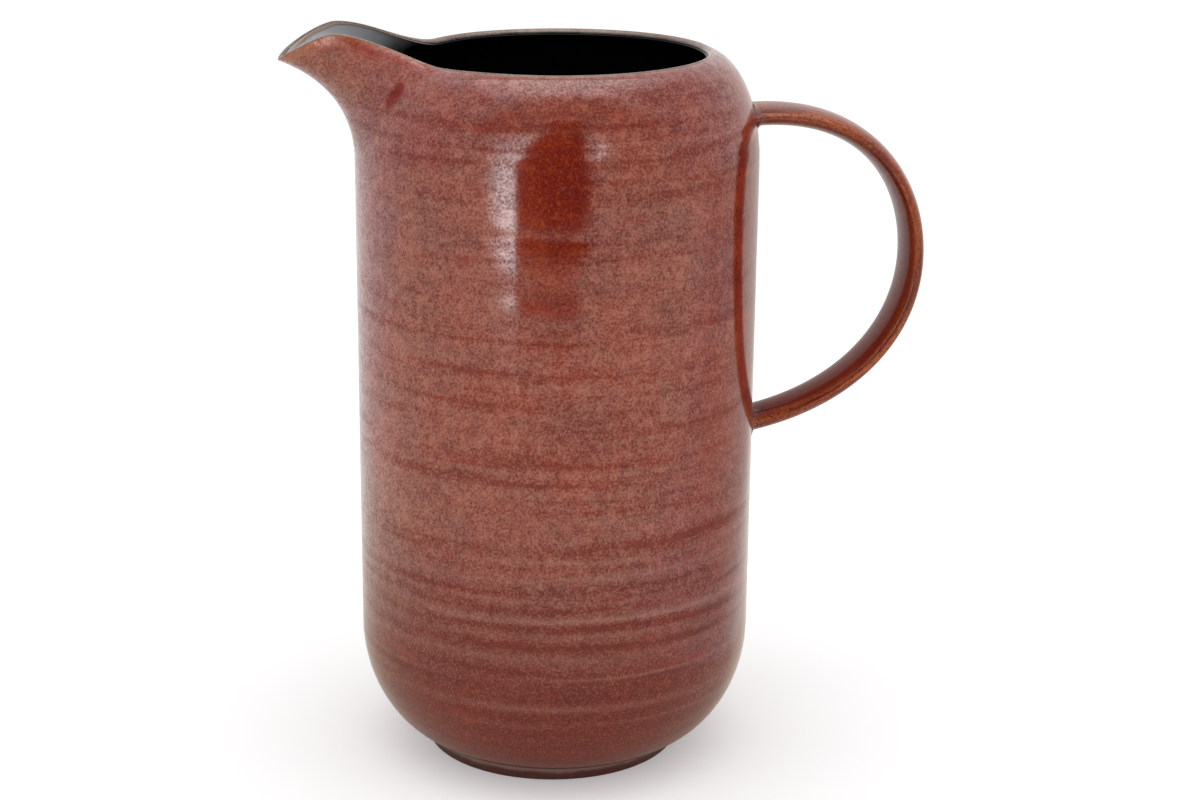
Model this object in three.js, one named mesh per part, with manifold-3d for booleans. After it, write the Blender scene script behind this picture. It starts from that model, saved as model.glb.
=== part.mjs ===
// A glazed jug: a thrown vessel with a foot, a pulled spout and an ear-shaped strap handle.
// Millimetres, +Z up. The spout points to -X, the handle to +X, and the foot stands on Z = 0.

import * as THREE from "three";
import { mergeVertices } from "three/addons/utils/BufferGeometryUtils.js";
import Module from "manifold-3d";

const wasm = await Module();
wasm.setup();

const { clamp, degToRad, lerp } = THREE.MathUtils;

// Vessel
const BODY_RADIUS = 62;
const WALL = 4.5;
const FLOOR = 5.5;
const RIM_HEIGHT = 222.6;
const MOUTH_RADIUS = 44.4;
const LIP_THICKNESS = 2.5;
const LIP_DROP = 1.1;
const LIP_CROWN = 0.7;
const SHOULDER_RISE = 32.7;
const SHOULDER_SWEEP = degToRad(83);
const BASE_CURVE_IN = 28.4;
const BASE_CURVE_UP = 37.3;
const UNDERSIDE_HEIGHT = 2.9;
const RING_PITCH = 10;
const RING_DEPTH = 0.2;

// Foot ring
const FOOT_RADIUS = 39.7;
const FOOT_WIDTH = 6;
const FOOT_FLARE = 1.8;
const FOOT_EDGE = 0.8;

// Spout
const SPOUT_HALF_ANGLE = degToRad(39);
const SPOUT_OVERHANG = 22.4;
const SPOUT_TIP_DROP = 1.9;
const SPOUT_TIP_LIFT = 0.6;
const SPOUT_TIP_RUN = 8.5;
const SPOUT_TIP_PITCH = 2;
const SPOUT_TIP_MITRE = 1.45;
const SPOUT_CREST_OVERHANG = 5.2;
const SPOUT_CREST_HALF_WIDTH = 11.7;
const SPOUT_CREST_RISE = 7.6;
const SPOUT_CREST_HEADING = degToRad(12);
const SPOUT_CREST_FRONT_RUN = 4.4;
const SPOUT_CREST_BACK_RUN = 10.1;
const SPOUT_CORNER_RUN = 10.5;
const SPOUT_CORNER_SAG = 0.3;
const SPOUT_SAG_SPREAD = degToRad(14);
const SPOUT_LIP = 2.2;
const SPOUT_THROAT_RISE = 22;
const SPOUT_SEAM_POWER = 2.3;

// Handle
const HANDLE_TOP_DROP = 19.5;
const HANDLE_LOW_HEIGHT = 105.3;
const HANDLE_WIDEST_HEIGHT = 158.2;
const HANDLE_OVERHANG = 53.5;
const HANDLE_TOP_RUN = 35.6;
const HANDLE_TOP_SLOPE = degToRad(4);
const HANDLE_UPPER_BEND = 23.9;
const HANDLE_LOWER_BEND = 23.7;
const HANDLE_LOW_RUN = 33.7;
const HANDLE_LOW_SLOPE = degToRad(12.7);
const HANDLE_TOP_THICKNESS = 6.3;
const HANDLE_LOW_THICKNESS = 7.8;
const HANDLE_TOP_WIDTH = 23.2;
const HANDLE_LOW_WIDTH = 13.2;
const HANDLE_SQUARENESS = 0.95;
const HANDLE_TAPER = 2.2;

// Slip that joins the pieces, black coat inside, and the clearance between touching pieces
const SLIP_SEAM_WIDTH = 0.8;
const SLIP_FILLET = 3.5;
const GLAZE_COAT = 0.6;
const CLEARANCE = 0.3;

// Faces
const SPOUT_COLUMNS = 16;
const BACK_COLUMNS = 40;
const BASE_ROWS = 6;
const FOOT_ROWS = 3;
const SHOULDER_ROWS = 6;
const SPOUT_ROWS = 6;
const LIP_ROWS = 4;
const SECTION_SIDES = 16;
const BEND_STEPS = 12;
const FILLET_STEPS = 5;
const MERGE_DISTANCE = 0.001;
const TANGENT_STEP = 0.001;

const SHOULDER_START = RIM_HEIGHT - SHOULDER_RISE;
const BASE_TOP = UNDERSIDE_HEIGHT + BASE_CURVE_UP;
const HANDLE_TOP_HEIGHT = RIM_HEIGHT - HANDLE_TOP_DROP;
const SPOUT_REACH = BODY_RADIUS + SPOUT_OVERHANG;
const HANDLE_REACH = BODY_RADIUS + HANDLE_OVERHANG;

// Faces between neighbouring rows of points, each square parted along its shorter diagonal.
function gridGeometry(rows) {
  const points = rows.flat();
  const columns = rows[0].length;
  const index = [];
  for (let row = 0; row < rows.length - 1; row += 1) {
    for (let column = 0; column < columns - 1; column += 1) {
      const a = row * columns + column;
      const b = a + columns;
      const c = b + 1;
      const d = a + 1;
      const falling = points[a].distanceTo(points[c]) < points[b].distanceTo(points[d]);
      index.push(...(falling ? [a, b, c, a, c, d] : [a, b, d, b, c, d]));
    }
  }
  return new THREE.BufferGeometry().setFromPoints(points).setIndex(index);
}

// A closed solid from a geometry: shared points are merged and collapsed faces dropped.
function solid(geometry) {
  const bare = geometry.clone();
  bare.deleteAttribute("normal");
  bare.deleteAttribute("uv");
  const merged = mergeVertices(bare, MERGE_DISTANCE);
  const corners = merged.getIndex().array;
  const faces = [];
  for (let i = 0; i < corners.length; i += 3) {
    const [a, b, c] = corners.slice(i, i + 3);
    if (a !== b && b !== c && c !== a) faces.push(a, b, c);
  }
  const vertProperties = merged.getAttribute("position").array;
  const triVerts = Uint32Array.from(faces);
  return new wasm.Manifold(new wasm.Mesh({ numProp: 3, vertProperties, triVerts }));
}

function surfaceOf(body) {
  const mesh = body.getMesh();
  const geometry = new THREE.BufferGeometry();
  geometry.setAttribute("position", new THREE.BufferAttribute(mesh.vertProperties, mesh.numProp));
  geometry.setIndex(new THREE.BufferAttribute(mesh.triVerts, 1));
  const faceted = geometry.toNonIndexed();
  faceted.computeVertexNormals();
  return faceted;
}

// A point at an angle round the axis, measured from the middle of the spout.
function place(angle, radius, height) {
  return new THREE.Vector3(-radius * Math.cos(angle), -radius * Math.sin(angle), height);
}

// One of the vessel's nested skins: depth 0 is the outside of the clay and depth 1 the inside,
// and inset lies further in by that length.
function skin(depth, inset = 0) {
  const radius = BODY_RADIUS - WALL * depth - inset;
  const rimRadius = MOUTH_RADIUS + LIP_THICKNESS * (1 - depth) - inset;
  const rimHeight = RIM_HEIGHT - LIP_DROP * depth - inset;
  const baseIn = BASE_CURVE_IN - WALL * depth - inset;
  const baseUp = BASE_CURVE_UP - FLOOR * depth - inset;
  const shoulderIn = (radius - rimRadius) / (1 - Math.cos(SHOULDER_SWEEP));
  const shoulderUp = (rimHeight - SHOULDER_START) / Math.sin(SHOULDER_SWEEP);
  const lip = SPOUT_LIP * depth + inset;
  const tipHeight = RIM_HEIGHT - SPOUT_TIP_DROP + SPOUT_TIP_LIFT * depth + inset;
  const ringDepth = depth === 0 ? RING_DEPTH : 0;
  return {
    radius, rimRadius, rimHeight, baseIn, baseUp, shoulderIn, shoulderUp, lip, tipHeight, ringDepth,
  };
}

// The shoulder is part of an ellipse from the straight wall, rise 0, to the rim, rise 1. Pulling
// the spout drew the rim down a little at both of its corners.
function shoulderPoint(s, angle, rise) {
  const turn = SHOULDER_SWEEP * rise;
  const radius = s.radius - s.shoulderIn * (1 - Math.cos(turn));
  const fromCorner = (Math.abs(angle) - SPOUT_HALF_ANGLE) / SPOUT_SAG_SPREAD;
  const sag = SPOUT_CORNER_SAG * rise ** 2 * Math.exp(-(fromCorner ** 2));
  return place(angle, radius, SHOULDER_START + s.shoulderUp * Math.sin(turn) - sag);
}

// Outside radius of the vessel at a height on the straight wall or the shoulder.
function radiusAt(height) {
  const s = skin(0);
  const sine = clamp((height - SHOULDER_START) / s.shoulderUp, 0, 1);
  return s.radius - s.shoulderIn * (1 - Math.sqrt(1 - sine * sine));
}

// The spout leaves the shoulder along a U: lowest in the middle, at the rim at both sides.
function seamRise(share) {
  return Math.min(1, Math.abs(share) ** SPOUT_SEAM_POWER);
}

// The pulled rim, from the tip, share 0, over its crest, share 0.5, to the mouth's corner, share 1,
// where it runs into the round of the mouth. Negative shares lie on the other side.
function spoutRim(s, share) {
  const corner = shoulderPoint(s, SPOUT_HALF_ANGLE, 1);
  const heading = new THREE.Vector3(-Math.cos(SPOUT_CREST_HEADING), Math.sin(SPOUT_CREST_HEADING), 0);
  const tip = new THREE.Vector3(-SPOUT_REACH + s.lip * SPOUT_TIP_MITRE, 0, s.tipHeight);
  const crest = new THREE.Vector3(
    -BODY_RADIUS - SPOUT_CREST_OVERHANG + s.lip * Math.sin(SPOUT_CREST_HEADING),
    -SPOUT_CREST_HALF_WIDTH + s.lip * Math.cos(SPOUT_CREST_HEADING),
    RIM_HEIGHT + SPOUT_CREST_RISE,
  );
  const front = new THREE.CubicBezierCurve3(
    tip,
    tip.clone().add(new THREE.Vector3(0, s.lip / 2 - SPOUT_TIP_RUN, SPOUT_TIP_PITCH)),
    crest.clone().addScaledVector(heading, SPOUT_CREST_FRONT_RUN),
    crest,
  );
  const roundMouth = place(SPOUT_HALF_ANGLE - Math.PI / 2, SPOUT_CORNER_RUN, 0);
  const back = new THREE.CubicBezierCurve3(
    crest,
    crest.clone().addScaledVector(heading, -SPOUT_CREST_BACK_RUN),
    corner.clone().add(roundMouth),
    corner,
  );
  const along = 2 * Math.abs(share);
  const rim = along < 1 ? front.getPoint(along) : back.getPoint(along - 1);
  rim.y *= Math.sign(share);
  return rim;
}

// The meridian of a skin from the middle of its floor to its rim. In the spout's sector it bends
// out of the shoulder at the seam and runs forward to the pulled rim.
function meridian(s, angle) {
  const points = [new THREE.Vector3(0, 0, BASE_TOP - s.baseUp)];
  const baseCentre = s.radius - s.baseIn;
  for (let i = 0; i <= BASE_ROWS; i += 1) {
    const turn = ((i / BASE_ROWS) * Math.PI) / 2;
    const radius = baseCentre + s.baseIn * Math.sin(turn);
    points.push(place(angle, radius, BASE_TOP - s.baseUp * Math.cos(turn)));
  }
  const rings = s.ringDepth > 0 ? Math.round((SHOULDER_START - BASE_TOP) / RING_PITCH) : 0;
  for (let i = 1; i < 2 * rings; i += 1) {
    const height = lerp(BASE_TOP, SHOULDER_START, i / (2 * rings));
    points.push(place(angle, s.radius - s.ringDepth * (i % 2), height));
  }
  const share = angle / SPOUT_HALF_ANGLE;
  const seam = seamRise(share);
  for (let i = 0; i <= SHOULDER_ROWS; i += 1) {
    points.push(shoulderPoint(s, angle, (seam * i) / SHOULDER_ROWS));
  }
  const root = shoulderPoint(s, angle, seam);
  const upward = shoulderPoint(s, angle, seam + TANGENT_STEP).sub(root).normalize();
  const throat = Math.max(0, 1 - share * share) * SPOUT_THROAT_RISE;
  const rim = Math.abs(share) < 1 ? spoutRim(s, share) : root;
  const bend = new THREE.QuadraticBezierCurve3(root, upward.multiplyScalar(throat).add(root), rim);
  for (let i = 1; i <= SPOUT_ROWS; i += 1) points.push(bend.getPoint(i / SPOUT_ROWS));
  return points;
}

// The lip's rounded top between the ends of an outer and an inner meridian.
function lipPoints(outer, inner, crown) {
  const points = [];
  for (let i = 1; i < LIP_ROWS; i += 1) {
    const turn = (i / LIP_ROWS) * Math.PI;
    const point = outer.clone().lerp(inner, (1 - Math.cos(turn)) / 2);
    point.z += crown * Math.sin(turn);
    points.push(point);
  }
  return points;
}

// A shell between two skins: their meridians, joined over the lip, carried once round the axis.
function shell(outerSkin, innerSkin, crown) {
  const angles = [];
  for (let i = 0; i < SPOUT_COLUMNS; i += 1) {
    angles.push(lerp(-SPOUT_HALF_ANGLE, SPOUT_HALF_ANGLE, i / SPOUT_COLUMNS));
  }
  for (let i = 0; i <= BACK_COLUMNS; i += 1) {
    angles.push(lerp(SPOUT_HALF_ANGLE, 2 * Math.PI - SPOUT_HALF_ANGLE, i / BACK_COLUMNS));
  }
  const strips = angles.map((angle) => {
    const signed = angle > Math.PI ? angle - 2 * Math.PI : angle;
    const outer = meridian(outerSkin, signed);
    const inner = meridian(innerSkin, signed);
    return [...outer, ...lipPoints(outer.at(-1), inner.at(-1), crown), ...inner.reverse()];
  });
  return solid(gridGeometry(strips));
}

// The filled vessel without its spout, grown by a clearance: what the handle may not enter.
function vesselCore(clearance) {
  const profile = [new THREE.Vector2(0, 0)];
  profile.push(new THREE.Vector2(BODY_RADIUS + clearance, 0));
  for (let i = 0; i <= SHOULDER_ROWS; i += 1) {
    const height = SHOULDER_START + (SHOULDER_RISE * i) / SHOULDER_ROWS;
    profile.push(new THREE.Vector2(radiusAt(height) + clearance, height));
  }
  profile.push(new THREE.Vector2(0, RIM_HEIGHT));
  const columns = SPOUT_COLUMNS + BACK_COLUMNS;
  const core = new THREE.LatheGeometry(profile, 2 * columns);
  core.rotateX(Math.PI / 2);
  return solid(core);
}

// A straight prism inside the seam, along the spout, grown by a length: it parts spout and vessel.
function seamPrism(grow) {
  const s = skin(0);
  const top = RIM_HEIGHT + BODY_RADIUS;
  const outline = new THREE.Shape();
  for (let i = 0; i <= SPOUT_COLUMNS; i += 1) {
    const share = lerp(-1, 1, i / SPOUT_COLUMNS);
    const spot = shoulderPoint(s, SPOUT_HALF_ANGLE * share, seamRise(share));
    const across = -spot.y + grow * Math.sign(share);
    if (i === 0) outline.moveTo(across, top);
    outline.lineTo(across, spot.z - grow);
    if (i === SPOUT_COLUMNS) outline.lineTo(across, top);
  }
  const depth = SPOUT_REACH + SPOUT_OVERHANG - MOUTH_RADIUS / 2;
  const prism = new THREE.ExtrudeGeometry(outline, { depth, steps: 1, bevelEnabled: false });
  const [x, y, z] = [0, 1, 2].map((axis) => new THREE.Vector3().setComponent(axis, 1));
  prism.applyMatrix4(new THREE.Matrix4().makeBasis(y, z, x));
  prism.translate(-SPOUT_REACH - SPOUT_OVERHANG, 0, 0);
  return solid(prism);
}

// The foot: a ring with rounded lower edges whose top follows the rounded base.
function footRing() {
  const s = skin(0);
  const baseCentre = s.radius - s.baseIn;
  const seat = (radius) => {
    const sine = clamp((radius - baseCentre) / s.baseIn, 0, 1);
    return BASE_TOP - s.baseUp * Math.sqrt(1 - sine * sine) - CLEARANCE;
  };
  const innerRadius = FOOT_RADIUS - FOOT_WIDTH;
  const topRadius = FOOT_RADIUS + FOOT_FLARE;
  const profile = [
    [innerRadius, FOOT_EDGE],
    [innerRadius + FOOT_EDGE, 0],
    [FOOT_RADIUS - FOOT_EDGE, 0],
    [FOOT_RADIUS, FOOT_EDGE],
    [topRadius, seat(topRadius)],
  ];
  for (let i = 1; i <= FOOT_ROWS; i += 1) {
    const radius = lerp(topRadius, innerRadius, i / FOOT_ROWS);
    profile.push([radius, seat(radius)]);
  }
  profile.push(profile[0]);
  const ring = new THREE.LatheGeometry(
    profile.map(([radius, height]) => new THREE.Vector2(radius, height)),
    SPOUT_COLUMNS + BACK_COLUMNS,
  );
  ring.rotateX(Math.PI / 2);
  return solid(ring);
}

// The strap's size; along runs from 0 at the top to 1 below, and most of the change comes late.
function strapSize(along) {
  const taper = along ** HANDLE_TAPER;
  return {
    width: lerp(HANDLE_TOP_WIDTH, HANDLE_LOW_WIDTH, taper),
    thickness: lerp(HANDLE_TOP_THICKNESS, HANDLE_LOW_THICKNESS, taper),
  };
}

// The handle's middle line: out of the shoulder, round its widest point, back to the wall.
function handleCurves() {
  const { thickness } = strapSize(0.5);
  const top = new THREE.Vector3(radiusAt(HANDLE_TOP_HEIGHT), 0, HANDLE_TOP_HEIGHT);
  const topRun = top.clone();
  topRun.x += HANDLE_TOP_RUN * Math.cos(HANDLE_TOP_SLOPE);
  topRun.z += HANDLE_TOP_RUN * Math.sin(HANDLE_TOP_SLOPE);
  const widest = new THREE.Vector3(HANDLE_REACH - thickness / 2, 0, HANDLE_WIDEST_HEIGHT);
  const above = widest.clone();
  above.z += HANDLE_UPPER_BEND;
  const below = widest.clone();
  below.z -= HANDLE_LOWER_BEND;
  const low = new THREE.Vector3(BODY_RADIUS, 0, HANDLE_LOW_HEIGHT);
  const lowRun = low.clone();
  lowRun.x += HANDLE_LOW_RUN * Math.cos(HANDLE_LOW_SLOPE);
  lowRun.z += HANDLE_LOW_RUN * Math.sin(HANDLE_LOW_SLOPE);
  return [
    new THREE.CubicBezierCurve3(top, topRun, above, widest),
    new THREE.CubicBezierCurve3(widest, below, lowRun, low),
  ];
}

// A rounded section at a point of the strap's middle line, grown by a length.
function strapSection(centre, tangent, along, grow) {
  const across = new THREE.Vector3(0, 1, 0);
  const outward = new THREE.Vector3().crossVectors(across, tangent).normalize();
  const size = strapSize(along);
  const halfWidth = size.width / 2 + grow;
  const halfThickness = size.thickness / 2 + grow;
  const bulge = (value) => Math.sign(value) * Math.abs(value) ** HANDLE_SQUARENESS;
  const section = [];
  for (let i = 0; i < SECTION_SIDES; i += 1) {
    const turn = (2 * Math.PI * i) / SECTION_SIDES;
    const point = centre.clone();
    point.addScaledVector(across, halfWidth * bulge(Math.cos(turn)));
    point.addScaledVector(outward, halfThickness * bulge(Math.sin(turn)));
    section.push(point);
  }
  return section;
}

// A closed loft through rings of points, with a point at the middle of each end.
function loft(sections) {
  const middle = (ring) => {
    const sum = ring.reduce((total, point) => total.add(point), new THREE.Vector3());
    return sum.divideScalar(ring.length);
  };
  const first = sections[0].map(() => middle(sections[0]));
  const last = sections.at(-1).map(() => middle(sections.at(-1)));
  const rings = [first, ...sections, last].map((ring) => [...ring, ring[0]]);
  return solid(gridGeometry(rings));
}

// The whole strap, grown by a length, with both ends run straight on into the wall.
function strap(grow) {
  const sections = [];
  const [upper, lower] = handleCurves();
  const start = upper.getTangent(0);
  const finish = lower.getTangent(1);
  sections.push(strapSection(upper.getPoint(0).addScaledVector(start, -WALL), start, 0, grow));
  [upper, lower].forEach((curve, half) => {
    for (let i = half; i <= BEND_STEPS; i += 1) {
      const t = i / BEND_STEPS;
      sections.push(strapSection(curve.getPoint(t), curve.getTangent(t), (half + t) / 2, grow));
    }
  });
  sections.push(strapSection(lower.getPoint(1).addScaledVector(finish, WALL), finish, 1, grow));
  return loft(sections);
}

// The slip round one root of the handle: a hollow fillet that is widest against the wall.
function rootFillet(root, outward, along) {
  const sections = [];
  const tangent = outward.clone().multiplyScalar(along < 0.5 ? 1 : -1);
  const add = (distance, height) => {
    const centre = root.clone().addScaledVector(outward, distance);
    sections.push(strapSection(centre, tangent, along, CLEARANCE + height));
  };
  add(-WALL, SLIP_FILLET);
  for (let i = 0; i < FILLET_STEPS; i += 1) {
    const turn = ((i / FILLET_STEPS) * Math.PI) / 2;
    add(CLEARANCE + SLIP_FILLET * (1 - Math.cos(turn)), SLIP_FILLET * (1 - Math.sin(turn)));
  }
  if (along > 0.5) sections.reverse();
  return loft(sections);
}

function clay(color, roughness) {
  return new THREE.MeshStandardMaterial({ color, roughness, metalness: 0 });
}

function piece(name, body, material) {
  const mesh = new THREE.Mesh(surfaceOf(body), material);
  mesh.name = name;
  return mesh;
}

const vessel = shell(skin(0), skin(1), LIP_CROWN);
const slipHalf = SLIP_SEAM_WIDTH / 2;
const core = vesselCore(CLEARANCE);
const [upperCurve, lowerCurve] = handleCurves();
const strapRoom = strap(CLEARANCE);
const upperFillet = rootFillet(upperCurve.getPoint(0), upperCurve.getTangent(0), 0);
const lowerFillet = rootFillet(lowerCurve.getPoint(1), lowerCurve.getTangent(1).negate(), 1);

const jug = new THREE.Group();
jug.position.x = (SPOUT_REACH - HANDLE_REACH) / 2;
jug.add(
  piece("body", vessel.subtract(seamPrism(slipHalf + CLEARANCE)), clay(0x8c4637, 0.2)),
  piece("foot_ring", footRing(), clay(0x3f2b26, 0.45)),
  piece("spout", vessel.intersect(seamPrism(-slipHalf - CLEARANCE)), clay(0x8f4c3d, 0.2)),
  piece(
    "spout_slip_joint",
    vessel.intersect(seamPrism(slipHalf)).subtract(seamPrism(-slipHalf)),
    clay(0x7a2f25, 0.25),
  ),
  piece("handle", strap(0).subtract(core), clay(0x87503a, 0.22)),
  piece("upper_handle_slip_joint", upperFillet.subtract(core).subtract(strapRoom), clay(0x6b3527, 0.3)),
  piece("lower_handle_slip_joint", lowerFillet.subtract(core).subtract(strapRoom), clay(0x6b3527, 0.3)),
  piece("inner_glaze", shell(skin(1, CLEARANCE), skin(1, CLEARANCE + GLAZE_COAT), 0), clay(0x0b0b0c, 0.12)),
);

const part = new THREE.Group();
part.add(jug);

export default part;
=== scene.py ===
"""A red-brown glazed jug: a thrown vessel with a pulled spout, a strap handle and a turned foot.

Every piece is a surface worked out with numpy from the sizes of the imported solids, at a finer
step, with the unevenness of the potter's hand added, and is dressed with a procedural glaze.
"""

import logging
import math
from dataclasses import dataclass, field
from enum import Enum
from typing import Union

import bpy
import numpy as np
from mathutils import Matrix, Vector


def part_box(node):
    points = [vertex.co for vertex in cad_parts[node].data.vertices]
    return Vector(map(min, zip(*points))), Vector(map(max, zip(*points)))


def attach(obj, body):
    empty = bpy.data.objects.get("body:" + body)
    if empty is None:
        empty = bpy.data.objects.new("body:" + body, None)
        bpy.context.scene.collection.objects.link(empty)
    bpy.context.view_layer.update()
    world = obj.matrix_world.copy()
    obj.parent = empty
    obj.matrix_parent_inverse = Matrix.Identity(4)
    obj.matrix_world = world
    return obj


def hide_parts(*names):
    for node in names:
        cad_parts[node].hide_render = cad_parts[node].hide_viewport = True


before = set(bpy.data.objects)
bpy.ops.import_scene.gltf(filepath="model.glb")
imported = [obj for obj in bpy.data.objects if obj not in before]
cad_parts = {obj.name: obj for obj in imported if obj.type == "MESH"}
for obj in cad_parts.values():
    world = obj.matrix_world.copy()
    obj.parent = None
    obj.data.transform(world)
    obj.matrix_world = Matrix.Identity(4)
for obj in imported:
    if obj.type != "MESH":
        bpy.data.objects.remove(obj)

LOG = logging.getLogger("jug")
BODY = "root"
MM = 0.001
Array = np.ndarray
Colour = tuple[float, float, float]
Point = tuple[float, float, float]
Range = tuple[float, float]
NOISE_MEAN = 0.5


class Slot(Enum):
    """The record's material slots."""

    RED_BROWN = "red_brown_glaze"
    FOOT = "foot_glaze"
    HANDLE = "handle_glaze"
    BLACK = "black_glaze"


class Field(Enum):
    """Values that a surface carries from point to point for its glaze."""

    RIM_GAP = "rim_gap"
    RING = "ring"
    SPOUT = "spout"
    SIDE = "spout_side"
    DENT = "dent"
    ALONG = "along"
    ROOT = "root_gap"
    FACE = "strap_face"
    GLOW = "glow"


def smooth_step(low: float, high: float, value: Array) -> Array:
    """Rises from 0 at low to 1 at high along 3t^2 - 2t^3."""
    share = np.clip((value - low) / (high - low), 0.0, 1.0)
    return share * share * (3.0 - 2.0 * share)


def bell(value: Array, width: float) -> Array:
    """A bell curve, exp(-(value / width)^2)."""
    return np.exp(-((value / width) ** 2))


def cubic(points: Array, share: Array) -> Array:
    """Points of a cubic Bezier curve.

    Args:
        points: four control points, 4 x 3.
        share: places along the curve, from 0 to 1.

    Returns:
        The points of the curve, one more axis of 3 than share has.
    """
    t = share[..., None]
    weights = ((1 - t) ** 3, 3 * t * (1 - t) ** 2, 3 * t * t * (1 - t), t ** 3)
    return sum(weight * point for weight, point in zip(weights, points))


def cubic_slope(points: Array, share: Array) -> Array:
    """The derivative of a cubic Bezier curve: three times the blend of its control legs.

    Args:
        points: four control points, 4 x 3.
        share: places along the curve, from 0 to 1.

    Returns:
        The slopes, one more axis of 3 than share has.
    """
    t = share[..., None]
    legs = np.diff(points, axis=0)
    weights = ((1 - t) ** 2, 2 * t * (1 - t), t * t)
    return 3 * sum(weight * leg for weight, leg in zip(weights, legs))


def in_scene(name: str, data: bpy.types.ID) -> bpy.types.Object:
    """Makes an object and links it to the scene.

    Args:
        name: the object's name.
        data: its mesh, light or camera.

    Returns:
        The new object.
    """
    made = bpy.data.objects.new(name, data)
    bpy.context.scene.collection.objects.link(made)
    return made


def put(piece: bpy.types.Object, glaze: bpy.types.Material, nodes: tuple[str, ...]) -> None:
    """Dresses a piece and lets it stand for its nodes.

    Args:
        piece: the new piece.
        glaze: its finish.
        nodes: the nodes that it stands for.
    """
    piece.data.materials.append(glaze)
    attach(piece, BODY)
    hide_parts(*nodes)
    faces = sum(len(polygon.vertices) - 2 for polygon in piece.data.polygons)
    LOG.info("%s: %d triangles for %s", piece.name, faces, ", ".join(nodes))


@dataclass
class ClosedSurface:
    """A closed surface on a grid: columns run round it, and rows run along it.

    Open rows are closed by a fan at each end, to the middle of the end ring. Closed rows make a
    ring, such as a foot.

    Attributes:
        points: columns x rows x 3, in millimetres, in the jug's own frame.
        fields: columns x rows of values for the glaze.
        rows_closed: True where the last row joins the first.
    """

    points: Array
    fields: dict[Field, Array] = field(default_factory=dict)
    rows_closed: bool = False

    def faces(self) -> tuple[Array, Array]:
        """The grid's quads and its two fans.

        Returns:
            Quads, n x 4, and triangles, n x 3, of point indices.
        """
        columns, rows = self.points.shape[:2]
        here = np.arange(columns * rows).reshape(columns, rows)
        beside = np.roll(here, -1, axis=0)
        if self.rows_closed:
            above, above_beside = np.roll(here, -1, axis=1), np.roll(beside, -1, axis=1)
            quads = np.stack([here, beside, above_beside, above], axis=-1)
            return quads.reshape(-1, 4), np.zeros((0, 3), int)
        quads = np.stack([here[:, :-1], beside[:, :-1], beside[:, 1:], here[:, 1:]], axis=-1)
        first = np.full(columns, columns * rows)
        start = np.stack([first, beside[:, 0], here[:, 0]], axis=-1)
        end = np.stack([here[:, -1], beside[:, -1], first + 1], axis=-1)
        return quads.reshape(-1, 4), np.concatenate([start, end])

    def corners(self) -> Array:
        """All points in one list.

        Returns:
            The points, n x 3, with the middles of the end rings last.
        """
        flat = self.points.reshape(-1, 3)
        if self.rows_closed:
            return flat
        return np.concatenate([flat, self.points[:, [0, -1]].mean(axis=0)])

    def to_object(self, name: str, offset: Array) -> bpy.types.Object:
        """Makes the mesh object, with its faces pointing out, shaded smooth.

        Args:
            name: the piece's name.
            offset: the place of the jug's axis in the shared frame, in millimetres.

        Returns:
            The new object, at the origin, with its place in its mesh.
        """
        corners = self.corners()
        quads, fans = self.faces()
        triangles = np.concatenate([quads[:, [0, 1, 2]], quads[:, [0, 2, 3]], fans])
        a, b, c = (corners[triangles[:, i]] for i in range(3))
        if np.einsum("ij,ij->", a, np.cross(b, c)) < 0:
            quads, fans = quads[:, ::-1], fans[:, ::-1]
        mesh = bpy.data.meshes.new(name)
        mesh.vertices.add(len(corners))
        mesh.vertices.foreach_set("co", ((corners + offset) * MM).astype(np.float32).ravel())
        loops = np.concatenate([quads.ravel(), fans.ravel()]).astype(np.int32)
        starts = np.concatenate([4 * np.arange(len(quads)), quads.size + 3 * np.arange(len(fans))])
        mesh.loops.add(len(loops))
        mesh.loops.foreach_set("vertex_index", loops)
        mesh.polygons.add(len(starts))
        mesh.polygons.foreach_set("loop_start", starts.astype(np.int32))
        mesh.update(calc_edges=True)
        mesh.validate()
        mesh.shade_smooth()
        for key, values in self.fields.items():
            ends = [] if self.rows_closed else [values[:, [0, -1]].mean(axis=0)]
            flat = np.concatenate([values.ravel(), *ends]).astype(np.float32)
            mesh.attributes.new(key.value, "FLOAT", "POINT").data.foreach_set("value", flat)
        return in_scene(name, mesh)


Value = Union["Socket", float]


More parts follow.
